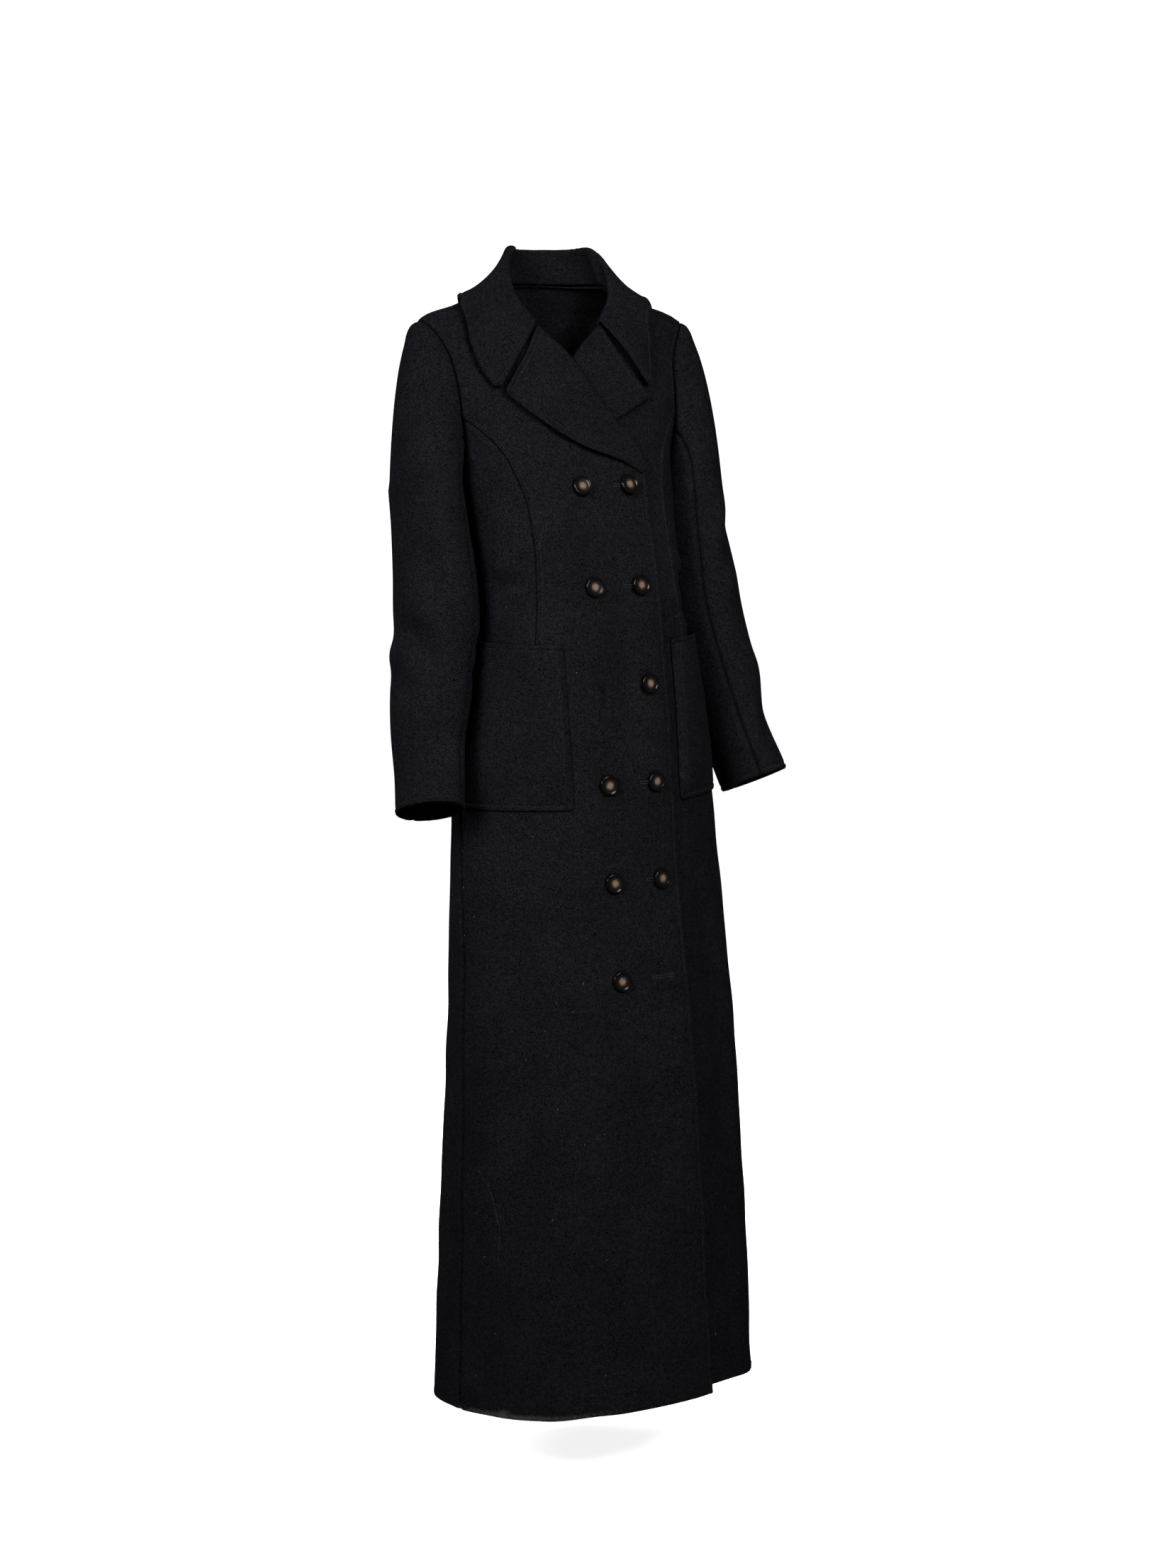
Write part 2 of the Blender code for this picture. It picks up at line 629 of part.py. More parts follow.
def sleeve_ring(section, tangent):
    """A section of the sleeve across the arm: its points start at the outside and run by the front."""
    lateral = np.array([1.0, 0.0, 0.0]) - tangent * tangent[0]
    lateral /= np.linalg.norm(lateral)
    forward = np.cross(lateral, tangent)
    forward *= -np.sign(forward[1])
    angles = 2 * math.pi * np.arange(ARMHOLE_STEPS) / ARMHOLE_STEPS
    points = np.outer(np.cos(angles) * section.half_across, lateral)
    points += np.outer(np.sin(angles) * section.half_depth, forward)
    return points + np.array([section.x, section.y, section.z])


def sleeve_points():
    """Rings of the left sleeve in the middle of its cloth, from the armhole to the cuff."""
    table = np.array(SLEEVE_SECTIONS)
    lengths = np.concatenate([[0.0], np.cumsum(np.linalg.norm(np.diff(table[:, :3], axis=0), axis=1))])
    smooth = SmoothTable(lengths, table)
    rings = []
    for d in np.linspace(0, lengths[-1], SLEEVE_ARM_ROWS):
        tangent = smooth.at(d + 0.01)[:3] - smooth.at(d - 0.01)[:3]
        rings.append(sleeve_ring(SleeveSection(*smooth.at(d)), tangent / np.linalg.norm(tangent)))
    armhole = []
    for step in range(ARMHOLE_STEPS):
        point, normal = body_frame(*armhole_place(step), LEFT)
        armhole.append(point + normal * LAID_ON)
    armhole = np.array(armhole)
    bend = armhole + (rings[0] - armhole) * np.array(CAP_BEND)
    cap = []
    for t in np.linspace(0, 1, SLEEVE_CAP_ROWS + 1)[:-1]:
        cap.append(armhole * (1 - t) ** 2 + bend * 2 * t * (1 - t) + rings[0] * t * t)
    points = np.array(cap + rings)
    fold_sleeve(points, lengths[-1])
    return points


def fold_sleeve(points, length):
    """Presses the sleeve's main folds into its rings."""
    middles = points.mean(axis=1, keepdims=True)
    outward = points - middles
    outward /= np.linalg.norm(outward, axis=2, keepdims=True)
    steps = np.arange(ARMHOLE_STEPS)
    for fold in (SleeveFold(*row) for row in SLEEVE_FOLDS):
        turn = (steps - fold.step + ARMHOLE_STEPS / 2) % ARMHOLE_STEPS - ARMHOLE_STEPS / 2
        across = np.exp(-((turn / fold.steps_across) ** 2))
        for k in range(SLEEVE_ARM_ROWS):
            away = (k / (SLEEVE_ARM_ROWS - 1) - fold.along) * length / fold.reach
            amount = fold.depth * math.exp(-(away**2)) * across
            points[SLEEVE_CAP_ROWS + k] += outward[SLEEVE_CAP_ROWS + k] * amount[:, None]


def make_sleeve(side):
    """The upper and the under sleeve, which meet in a front and a back seam."""
    points = sleeve_points() * np.array([side, 1.0, 1.0])
    around = np.concatenate([points[:, -1:], points, points[:, :1]], axis=1)
    middles = points.mean(axis=1, keepdims=True)
    normals = grid_normals(around, middles)[:, 1:-1]
    spans = {
        "under": np.arange(FRONT_SLEEVE_SEAM_STEP, BACK_SLEEVE_SEAM_STEP + 1),
        "upper": np.arange(BACK_SLEEVE_SEAM_STEP, ARMHOLE_STEPS + FRONT_SLEEVE_SEAM_STEP + 1),
    }
    for part, steps in spans.items():
        columns = steps % ARMHOLE_STEPS
        cloth, out = points[:, columns].copy(), normals[:, columns]
        for end, inner in ((0, 1), (-1, -2)):
            toward = cloth[:, inner] - cloth[:, end]
            toward /= np.linalg.norm(toward, axis=1, keepdims=True)
            cloth[:, end] += toward * SEAM / 2
        cloth_wall(f"sleeve_{part}_{SIDE_NAMES[side]}", cloth, out)


def button_mesh(name):
    """A turned button: flat back, rounded rim and a shallow dish in its face."""
    profile = (
        (0.0, 0.0),
        (BUTTON_RADIUS * 0.80, 0.0),
        (BUTTON_RADIUS, BUTTON_THICKNESS * 0.42),
        (BUTTON_RADIUS * 0.97, BUTTON_THICKNESS * 0.86),
        (BUTTON_RADIUS - BUTTON_RIM * 0.55, BUTTON_THICKNESS),
        (BUTTON_RADIUS - BUTTON_RIM, BUTTON_THICKNESS - BUTTON_DISH * 0.7),
        (0.0, BUTTON_THICKNESS - BUTTON_DISH),
    )
    work = bmesh.new()
    verts = [work.verts.new((r, 0.0, h)) for r, h in profile]
    edges = [work.edges.new(pair) for pair in zip(verts, verts[1:])]
    turn = {"cent": (0, 0, 0), "axis": (0, 0, 1), "angle": 2 * math.pi, "steps": BUTTON_SIDES}
    bmesh.ops.spin(work, geom=verts + edges, **turn)
    bmesh.ops.remove_doubles(work, verts=work.verts, dist=1e-6)
    bmesh.ops.recalc_face_normals(work, faces=work.faces)
    mesh = bpy.data.meshes.new(name)
    work.to_mesh(mesh)
    work.free()
    return mesh


def make_buttons():
    """Two columns of buttons on the right front, each flat against the cloth at its middle."""
    for column_side, rows in BUTTON_ROWS.items():
        from_centre = BUTTON_FROM_CENTRE * (1 if column_side == RIGHT else -1)
        for row in rows:
            level = level_at(BUTTON_FIRST_Z - BUTTON_PITCH * row)
            q = q_of(from_centre, level)
            point, normal = body_frame(q, level, RIGHT)
            seat = point + normal * (front_lift(q, level, RIGHT) + CLOTH / 2 + SEAM)
            name = f"button_{SIDE_NAMES[column_side]}_{row + 1}"
            made = add_object(name, button_mesh(name), HORN)
            made.location = seat
            made.rotation_mode = "QUATERNION"
            made.rotation_quaternion = Vector(normal).to_track_quat("Z", "Y")


def main():
    for old in list(bpy.data.objects):
        bpy.data.objects.remove(old)
    for side in (RIGHT, LEFT):
        make_body(side)
        make_sleeve(side)
    make_collar()
    make_buttons()


main()
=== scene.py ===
"""Visual model of a long double-breasted wool coat over its solids, in metres, +Z up.

The wearer faces -Y, so the wearer's right side is at -X. A place on the body of the coat is
"q" and "level", as in the part: q runs round a section from 0 at the centre front to 1 at the
centre back, and level is the distance up the side from the hem over the shoulder to the neck.
"from_centre" is q as metres of cloth. Folds of the body give it signed, towards the wearer's left.
"""

import math
from collections import namedtuple

import bmesh
import bpy
import numpy as np
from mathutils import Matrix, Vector


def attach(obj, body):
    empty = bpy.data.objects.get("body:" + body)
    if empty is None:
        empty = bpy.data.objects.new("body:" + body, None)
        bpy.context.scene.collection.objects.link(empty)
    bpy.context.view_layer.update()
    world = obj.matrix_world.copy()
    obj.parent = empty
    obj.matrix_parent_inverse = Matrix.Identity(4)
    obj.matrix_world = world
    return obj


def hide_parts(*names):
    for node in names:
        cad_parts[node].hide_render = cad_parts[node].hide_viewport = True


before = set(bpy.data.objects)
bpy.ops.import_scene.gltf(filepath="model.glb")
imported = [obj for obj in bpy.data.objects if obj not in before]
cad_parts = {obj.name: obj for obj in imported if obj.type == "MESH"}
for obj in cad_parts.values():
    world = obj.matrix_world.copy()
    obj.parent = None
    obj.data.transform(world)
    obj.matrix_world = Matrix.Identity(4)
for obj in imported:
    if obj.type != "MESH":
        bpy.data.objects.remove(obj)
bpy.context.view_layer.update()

RIGHT, LEFT = -1, 1
SIDE_NAMES = {RIGHT: "right", LEFT: "left"}
BODY = "root"

# Sizes shared with the part
CLOTH = 0.0024
SEAM = 0.0004
HALF_SEAM = SEAM / 2
LAID_ON = CLOTH + SEAM
HEM_Z = -1.443
HEM_FRONT_RISE = {RIGHT: 0.020, LEFT: 0.031}
HEM_RISE_SPAN = 0.36
HEM_RISE_FADES_Z = -1.20
STEP_Z = -0.565
UNDERARM_Z = -0.236
SHOULDER_FORWARD = 0.010
SIDE_SEAM_FORWARD = 0.018
SIDE_SEAM_MOVES_Z = (-0.90, -0.60)
SHOULDER_Z = -0.049
OVERLAP = 0.066
OVERLAP_LIFT = 0.0040
LAPEL_LIFT = 0.0058
LIFT_RAMP = (0.108, 0.072)
LAPEL_LIFT_Z = (-0.290, -0.240)
LIFT_ENDS_Z = (-0.095, -0.052)
ARMHOLE_STEPS = 24
ARMHOLE_PRINCESS_STEP = 7
ARMHOLE_FRONT_GAP = 0.046
ARMHOLE_BACK_GAP = 0.056
POCKET_FROM_CENTRE = 0.083
POCKET_WIDTH = 0.152
POCKET_TOP_Z = -0.452
POCKET_BOTTOM_Z = -0.658
POCKET_BULGE = 0.006
BUTTON_RADIUS = 0.013
BUTTON_THICKNESS = 0.0046
BUTTON_FROM_CENTRE = 0.0345
BUTTON_FIRST_Z = -0.257
BUTTON_PITCH = 0.1242
BUTTON_COUNT = 6
BUTTON_ROWS = {RIGHT: (0, 1, 3, 4, 5), LEFT: (0, 1, 2, 3, 4)}

BodySection = namedtuple("BodySection", "z half_width front_y back_y side_y front_power back_power")
BODY_SECTIONS = (
    (-1.443, 0.2195, -0.289, 0.088, -0.099, 2.0, 2.0),
    (-1.200, 0.2100, -0.260, 0.071, -0.092, 2.0, 2.0),
    (-0.950, 0.2015, -0.228, 0.052, -0.085, 2.0, 2.0),
    (-0.760, 0.1940, -0.199, 0.042, -0.078, 1.9, 2.0),
    (-0.620, 0.1820, -0.184, 0.041, -0.072, 1.9, 2.1),
    (-0.500, 0.1560, -0.167, 0.041, -0.062, 2.3, 2.2),
    (-0.400, 0.1390, -0.151, 0.048, -0.050, 2.7, 2.2),
    (-0.320, 0.1440, -0.133, 0.074, -0.030, 2.6, 2.2),
    (-0.260, 0.1510, -0.115, 0.093, -0.014, 2.5, 2.3),
    (-0.228, 0.1550, -0.103, 0.098, -0.006, 2.5, 2.4),
    (-0.160, 0.1740, -0.074, 0.098, 0.006, 2.6, 2.4),
    (-0.100, 0.1880, -0.046, 0.089, 0.008, 2.5, 2.3),
    (-0.049, 0.1925, -0.030, 0.074, 0.007, 2.3, 2.2),
    (-0.026, 0.1380, -0.022, 0.066, 0.007, 2.1, 2.1),
    (0.000, 0.0750, -0.014, 0.056, 0.007, 2.0, 2.0),
)
Flute = namedtuple("Flute", "q reach depth top_z")
FLUTES = (
    (0.24, 0.045, 0.006, -0.95),
    (0.40, 0.050, -0.006, -0.85),
    (0.56, 0.050, 0.007, -0.80),
    (0.72, 0.055, -0.009, -0.75),
    (0.87, 0.050, 0.010, -0.70),
)
PRINCESS_LINE = (
    (-0.565, 0.121),
    (-0.450, 0.115),
    (-0.390, 0.108),
    (-0.315, 0.104),
    (-0.265, 0.107),
    (-0.236, 0.115),
)
PRINCESS_BEND = np.array([0.22, 0.62])
ROLL_LINE = {
    RIGHT: ((-0.236, -0.066), (-0.177, -0.032), (-0.131, -0.006), (-0.101, 0.009), (-0.054, 0.047)),
    LEFT: ((-0.236, -0.066), (-0.155, -0.034), (-0.098, -0.003), (-0.054, 0.046)),
}
LAPEL_ROLL = {RIGHT: ((-0.2475, -0.066), *ROLL_LINE[RIGHT]), LEFT: ROLL_LINE[LEFT]}
LAPEL_EDGE = {
    RIGHT: ((-0.2475, -0.066), (-0.231, -0.036), (-0.209, 0.026), (-0.1755, 0.076), (-0.138, 0.110)),
    LEFT: ((-0.236, -0.066), (-0.197, -0.012), (-0.172, 0.044), (-0.146, 0.103)),
}
LapelLift = namedtuple("LapelLift", "height start full")
LAPEL_LIFTS = {RIGHT: (0.0065, 0.05, 0.45), LEFT: (0.0045, 0.60, 0.95)}
CollarStation = namedtuple("CollarStation", "along stand lean edge_q edge_z clear bow askew")
COLLAR_STATIONS = (
    (0.000, 0.041, 0.005, 1.000, -0.043, 0.0045, -0.004, 0.000),
    (0.250, 0.042, 0.012, 0.800, -0.041, 0.0076, -0.016, 0.000),
    (0.500, 0.044, 0.020, 0.490, -0.024, 0.0105, -0.016, 0.000),
    (0.625, 0.038, 0.018, 0.330, -0.044, 0.0125, -0.006, 0.030),
    (0.750, 0.028, 0.013, 0.305, -0.078, 0.0090, 0.000, 0.026),
    (0.875, 0.015, 0.006, 0.289, -0.108, 0.0085, 0.006, 0.022),
    (1.000, 0.004, 0.000, 0.259, -0.137, 0.0085, 0.011, 0.013),
)
NECK_MIDDLE = np.array([0.0, 0.012, 0.0])
COLLAR_ROLL_RADIUS = 0.0036
COLLAR_STAND_START = 0.0022
SleeveSection = namedtuple("SleeveSection", "x y z half_across half_depth")
SLEEVE_SECTIONS = (
    (0.1985, -0.010, -0.255, 0.0415, 0.058),
    (0.1985, -0.026, -0.345, 0.0470, 0.061),
    (0.2020, -0.039, -0.420, 0.0515, 0.063),
    (0.2150, -0.052, -0.490, 0.0490, 0.062),
    (0.2315, -0.072, -0.568, 0.0435, 0.0565),
    (0.2480, -0.105, -0.654, 0.0395, 0.051),
)
CAP_BEND = np.array([0.78, 0.60, 0.10])
FRONT_SLEEVE_SEAM_STEP = 8
BACK_SLEEVE_SEAM_STEP = 18

# Folds as bowed lines in a plane, which stand out where their depth is above 0 and sink in below 0
Fold = namedtuple("Fold", "x_0 y_0 x_1 y_1 bow width depth")

# Folds of the body, by cloth across and height
BODY_FOLDS = (
    (0.004, -0.285, 0.000, -0.640, 0.006, 0.020, -0.0042),
    (0.050, -0.290, 0.046, -0.800, 0.002, 0.012, 0.0021),
    (-0.060, -0.270, -0.072, -0.420, -0.006, 0.022, 0.0032),
    (-0.112, -0.200, -0.066, -0.262, 0.006, 0.015, -0.0035),
    (-0.105, -0.225, -0.050, -0.300, 0.004, 0.016, 0.0024),
    (-0.118, -0.372, -0.182, -0.392, -0.006, 0.012, -0.0046),
    (-0.122, -0.398, -0.176, -0.424, -0.005, 0.011, -0.0035),
    (-0.124, -0.352, -0.170, -0.360, 0.003, 0.012, 0.0032),
    (0.110, -0.205, 0.070, -0.270, -0.006, 0.016, -0.0032),
    (0.116, -0.380, 0.178, -0.396, 0.006, 0.013, -0.0046),
    (0.120, -0.412, 0.182, -0.430, 0.004, 0.011, -0.0032),
    (0.118, -0.356, 0.170, -0.362, -0.003, 0.012, 0.0032),
    (-0.018, -0.720, -0.030, -1.250, 0.010, 0.034, -0.0053),
    (-0.082, -0.780, -0.100, -1.390, -0.010, 0.032, 0.0053),
    (-0.172, -0.690, -0.196, -1.340, 0.014, 0.024, -0.0066),
    (-0.215, -0.800, -0.262, -1.400, 0.006, 0.026, 0.0053),
    (0.060, -0.760, 0.062, -1.330, -0.008, 0.026, 0.0042),
    (0.112, -0.700, 0.140, -1.300, 0.008, 0.028, -0.0059),
    (0.176, -0.740, 0.214, -1.420, -0.010, 0.026, 0.0056),
    (0.240, -0.820, 0.286, -1.380, 0.008, 0.024, -0.0053),
    (-0.215, -0.392, -0.300, -0.418, 0.010, 0.013, -0.0059),
    (-0.222, -0.426, -0.312, -0.440, 0.006, 0.012, -0.0046),
    (-0.230, -0.360, -0.290, -0.385, 0.008, 0.014, 0.0039),
    (0.212, -0.400, 0.296, -0.410, 0.012, 0.013, -0.0056),
    (0.220, -0.432, 0.318, -0.452, 0.005, 0.012, -0.0049),
    (0.226, -0.366, 0.300, -0.380, 0.008, 0.014, 0.0039),
    (-0.262, -0.150, -0.300, -0.290, -0.010, 0.020, -0.0042),
    (0.258, -0.160, 0.304, -0.300, 0.010, 0.021, -0.0046),
    (-0.330, -0.560, -0.380, -1.200, 0.012, 0.030, -0.0063),
    (-0.420, -0.640, -0.500, -1.380, -0.012, 0.032, 0.0063),
    (0.318, -0.540, 0.370, -1.260, -0.010, 0.030, -0.0066),
    (0.412, -0.620, 0.486, -1.340, 0.014, 0.030, 0.0059),
)

# Broad dents and swells of both sleeves, by share of the arm's length and steps round from its outside
ArmDent = namedtuple("ArmDent", "along step depth reach steps_across")
ARM_DENTS = (
    (0.81, 4.0, -0.0075, 0.045, 3.0),
    (0.72, 4.0, 0.0040, 0.050, 3.5),
    (0.45, 19.0, -0.0050, 0.070, 3.0),
)

# Folds of each sleeve, by the same two measures
ARM_FOLDS = {
    RIGHT: (
        (0.40, -1.0, 0.60, 4.6, 0.006, 0.017, -0.0072),
        (0.36, 1.5, 0.50, 6.0, 0.004, 0.015, 0.0043),
        (0.56, -2.0, 0.70, 2.5, 0.005, 0.016, -0.0052),
        (0.48, -3.5, 0.55, 0.0, -0.004, 0.014, 0.0043),
        (0.14, 2.0, 0.42, 4.5, 0.008, 0.020, -0.0049),
        (0.02, 4.5, 0.24, 6.2, -0.004, 0.016, 0.0038),
        (0.74, 3.0, 0.90, 6.0, 0.006, 0.014, -0.0041),
        (0.40, 17.0, 0.52, 21.0, 0.006, 0.013, -0.0064),
        (0.48, 16.0, 0.62, 20.5, 0.006, 0.013, -0.0058),
        (0.62, 17.5, 0.72, 21.0, 0.004, 0.013, -0.0043),
        (0.46, 8.0, 0.56, 13.0, 0.006, 0.012, -0.0043),
        (0.54, 7.5, 0.63, 12.0, 0.004, 0.012, -0.0038),
    ),
    LEFT: (
        (0.50, -3.0, 0.63, 3.0, 0.006, 0.015, -0.0075),
        (0.60, -4.0, 0.72, 1.0, 0.005, 0.014, -0.0067),
        (0.55, -2.5, 0.66, 2.0, 0.003, 0.011, 0.0049),
        (0.10, 1.5, 0.34, 4.8, 0.007, 0.019, -0.0049),
        (0.28, 3.5, 0.48, 6.6, 0.005, 0.016, 0.0035),
        (0.04, 5.0, 0.22, 6.6, 0.004, 0.015, -0.0035),
        (0.78, 2.0, 0.93, 5.5, 0.006, 0.014, -0.0041),
        (0.42, 17.0, 0.54, 21.5, 0.006, 0.013, -0.0064),
        (0.52, 16.0, 0.64, 20.0, 0.006, 0.013, -0.0055),
        (0.64, 17.0, 0.75, 21.0, 0.004, 0.013, -0.0043),
        (0.47, 8.5, 0.57, 13.0, 0.006, 0.012, -0.0043),
    ),
}

# Lines of the cloth meshes, as distances from an edge: close at a stitched edge or a seam
STITCH_IN = 0.0058
STITCHED_EDGE = (0.0, 0.0010, 0.0022, 0.0035, 0.0048, STITCH_IN, 0.0068, 0.0082, 0.0108, 0.0150)
STITCH_LINE = STITCHED_EDGE.index(STITCH_IN)
FLANGE_STITCH_IN = 0.0092
FLANGE_EDGE = (
    0.0, 0.0010, 0.0024, 0.0040, 0.0056, 0.0072, 0.0083,
    FLANGE_STITCH_IN, 0.0102, 0.0125, 0.0165,
)
FLANGE_LINE = FLANGE_EDGE.index(FLANGE_STITCH_IN)
PLAIN_SEAM = (0.0, 0.0011, 0.0024, 0.0040, 0.0062, 0.0095, 0.0140)
RAW_EDGE = (0.0, 0.0018, 0.0040, 0.0070, 0.0110)
OPEN_GRID = (0.0,)
COLLAR_TIP_RADIUS = 0.013
LAPEL_TIP_RADIUS = 0.003
POCKET_CORNER_RADIUS = 0.004
CLOSE_LINES_SHARE = 0.8

# Even rows and columns between those close lines
SKIRT_ROWS = 103
BODICE_ROWS = 54
UPPER_ROWS = 84
UPPER_HEIGHT = 0.19
FRONT_SIDE_COLUMNS = 30
FRONT_COLUMNS = 27
SIDE_FRONT_COLUMNS = 14
BACK_COLUMNS = 41

# Relief of the cloth beside seams and stitching
Ridge = namedtuple("Ridge", "height middle width")
SEAM_GROOVE = 0.0026
SEAM_GROOVE_WIDTH = 0.0021
SHOULDER_GROOVE = 0.0034
LAPPED_GROOVE = 0.0010
SEAM_SWELL = Ridge(0.0008, 0.0075, 0.0040)
STITCH_SWELL = Ridge(0.0006, 0.0028, 0.0020)
STITCH_PULL = 0.0008
STITCH_PULL_WIDTH = 0.0012
LAP_HEIGHT = 0.0013
LAP_ENDS = (0.0052, 0.0100)
FOLD_STARTS = (-0.05, 0.35)
FOLD_ENDS = (0.65, 1.05)

# Slow swell of the cloth
EASE_WAVES = 9
EASE_LENGTHS = (0.05, 0.16)
EASE_PHASES = (0, 6.28)
FULL_TURN = 6.283
BODY_EASE = 0.0007
BODY_EASE_SEED = 7
BODY_EASE_ENDS_Z = (-0.30, -0.16)

# Steps of q and level over which the slope of the body is taken
SLOPE_Q, SLOPE_LEVEL = 0.006, 0.003

# Thread
STITCH_PITCH = 0.0036
STITCH_LENGTH = 0.0027
THREAD_RADIUS = 0.00028

TINY = 1e-12
RANDOM = np.random.default_rng(41)


def smooth_step(value, start, end):
    """0 before start and 1 after end, with soft ends."""
    t = np.clip((np.asarray(value) - start) / (end - start), 0.0, 1.0)
    return t * t * (3.0 - 2.0 * t)


def hump(distance, middle, width):
    return np.exp(-(((distance - middle) / width) ** 2))


def unit(vectors):
    return vectors / np.maximum(np.linalg.norm(vectors, axis=-1, keepdims=True), TINY)


def run_along(path):
    """Distance of each point of a path from its first one, along it."""
    return np.concatenate([[0.0], np.cumsum(np.linalg.norm(np.diff(path, axis=0), axis=1))])


class SmoothTable:
    """A table's columns as smooth curves through its rows, read at distances along them."""

    def __init__(self, along, columns):
        self.along = np.asarray(along, float)
        self.columns = np.asarray(columns, float)
        self.slopes = np.gradient(self.columns, self.along, axis=0)

    def at(self, distance):
        d = np.clip(distance, self.along[0], self.along[-1])
        i = np.clip(np.searchsorted(self.along, d, side="right") - 1, 0, len(self.along) - 2)
        span = (self.along[i + 1] - self.along[i])[..., None]
        t = (d - self.along[i])[..., None] / span
        held = self.columns[i] * (1 + 2 * t) * (1 - t) ** 2 + self.columns[i + 1] * t * t * (3 - 2 * t)
        return held + span * (self.slopes[i] * t * (1 - t) ** 2 - self.slopes[i + 1] * t * t * (1 - t))


class Surface:
    """The plain body of the coat as a fine table of points over level and q, on the wearer's left."""

    def __init__(self, levels=900, turns=481, angles=721):
        z, half_width = np.array(BODY_SECTIONS)[:, 0], np.array(BODY_SECTIONS)[:, 1]
        along = np.concatenate([[0.0], np.cumsum(np.hypot(np.diff(z), np.diff(half_width)))])
        self.top = float(along[-1])
        self.levels = np.linspace(0.0, self.top, levels)
        sections = BodySection(*SmoothTable(along, BODY_SECTIONS).at(self.levels).T)
        self.heights = sections.z
        self.girths, self.side_q = np.zeros(levels), np.zeros(levels)
        self.points = np.zeros((levels, turns, 3))
        theta = np.linspace(0.0, math.pi, angles)
        sine, cosine = np.clip(np.sin(theta), 0, 1), np.cos(theta)
        for k in range(levels):
            front = cosine >= 0
            power = np.where(front, 2 / sections.front_power[k], 2 / sections.back_power[k])
            reach = np.where(front, sections.front_y[k], sections.back_y[k]) - sections.side_y[k]
            x = sections.half_width[k] * sine**power
            y = sections.side_y[k] + reach * np.abs(cosine) ** power
            run = np.concatenate([[0.0], np.cumsum(np.hypot(np.diff(x), np.diff(y)))])
            even = np.linspace(0.0, run[-1], turns)
            self.points[k, :, 0] = np.interp(even, run, x)
            self.points[k, :, 1] = np.interp(even, run, y)
            self.points[k, :, 2] = sections.z[k]
            self.girths[k] = run[-1]
            self.side_q[k] = run[angles // 2] / run[-1]

    def at(self, q, level, side):
        rows, turns = self.points.shape[:2]
        a = np.clip(level / self.top, 0, 1) * (rows - 1)
        b = np.clip(np.abs(q), 0, 1) * (turns - 1)
        i, j = np.minimum(a.astype(int), rows - 2), np.minimum(b.astype(int), turns - 2)
        u, v = (a - i)[..., None], (b - j)[..., None]
        low = self.points[i, j] * (1 - v) + self.points[i, j + 1] * v
        high = self.points[i + 1, j] * (1 - v) + self.points[i + 1, j + 1] * v
        found = low * (1 - u) + high * u
        found[..., 0] *= np.where(np.asarray(q) >= 0, side, -side)
        return found


SURFACE = Surface()
NECK_LEVEL = SURFACE.top


def level_at(z):
    return np.interp(z, SURFACE.heights, SURFACE.levels)


def height_at(level):
    return np.interp(level, SURFACE.levels, SURFACE.heights)


def half_girth(level):
    return np.interp(level, SURFACE.levels, SURFACE.girths)


def side_q(level):
    """q of the side line, where a section is widest."""
    return np.interp(level, SURFACE.levels, SURFACE.side_q)


def side_seam_q(level):
    """q of the side seam, which leaves the side line forwards down the skirt."""
    forward = SIDE_SEAM_FORWARD * (1 - smooth_step(height_at(level), *SIDE_SEAM_MOVES_Z))
    return side_q(level) - forward / half_girth(level)


def q_of(from_centre, level):
    return from_centre / half_girth(level)


SHOULDER_LEVEL = level_at(SHOULDER_Z)
UNDERARM_LEVEL = level_at(UNDERARM_Z)


def flute_depth(q, z):
    """How far the skirt's soft flutes stand out of the plain section."""
    total = np.zeros_like(z)
    for flute in (Flute(*row) for row in FLUTES):
        total += flute.depth * hump(np.abs(q), flute.q, flute.reach) * smooth_step(z, flute.top_z, HEM_Z)
    return total


def fold_depth(x, y, folds):
    """How far folds, drawn as bowed lines in a plane, lift its points."""
    total = np.zeros_like(x)
    for fold in (Fold(*row) for row in folds):
        length = math.hypot(fold.x_1 - fold.x_0, fold.y_1 - fold.y_0)
        ux, uy = (fold.x_1 - fold.x_0) / length, (fold.y_1 - fold.y_0) / length
        t = ((x - fold.x_0) * ux + (y - fold.y_0) * uy) / length
        aside = (y - fold.y_0) * ux - (x - fold.x_0) * uy - fold.bow * 4 * t * (1 - t)
        ends = smooth_step(t, *FOLD_STARTS) * (1 - smooth_step(t, *FOLD_ENDS))
        total += fold.depth * ends * hump(aside, 0.0, fold.width)
    return total


def ease(x, y, seed, amount):
    """A slow, uneven swell of the cloth."""
    waves = np.random.default_rng(seed)
    total = np.zeros_like(x)
    for _ in range(EASE_WAVES):
        turn = waves.uniform(0, math.pi)
        length = waves.uniform(*EASE_LENGTHS)
        phase = waves.uniform(*EASE_PHASES)
        total += np.sin((x * math.cos(turn) + y * math.sin(turn)) * FULL_TURN / length + phase)
    return total * amount / math.sqrt(EASE_WAVES)


def front_lift(q, level, side):
    """How far a front stands off the body: the right one passes over the left one and its lapel."""
    if side == LEFT:
        return np.zeros_like(q)
    z = height_at(level)
    over_edge = smooth_step(-q * half_girth(level), -LIFT_RAMP[0], -LIFT_RAMP[1])
    below_neck = 1.0 - smooth_step(z, *LIFT_ENDS_Z)
    return over_edge * below_neck * (OVERLAP_LIFT + LAPEL_LIFT * smooth_step(z, *LAPEL_LIFT_Z))


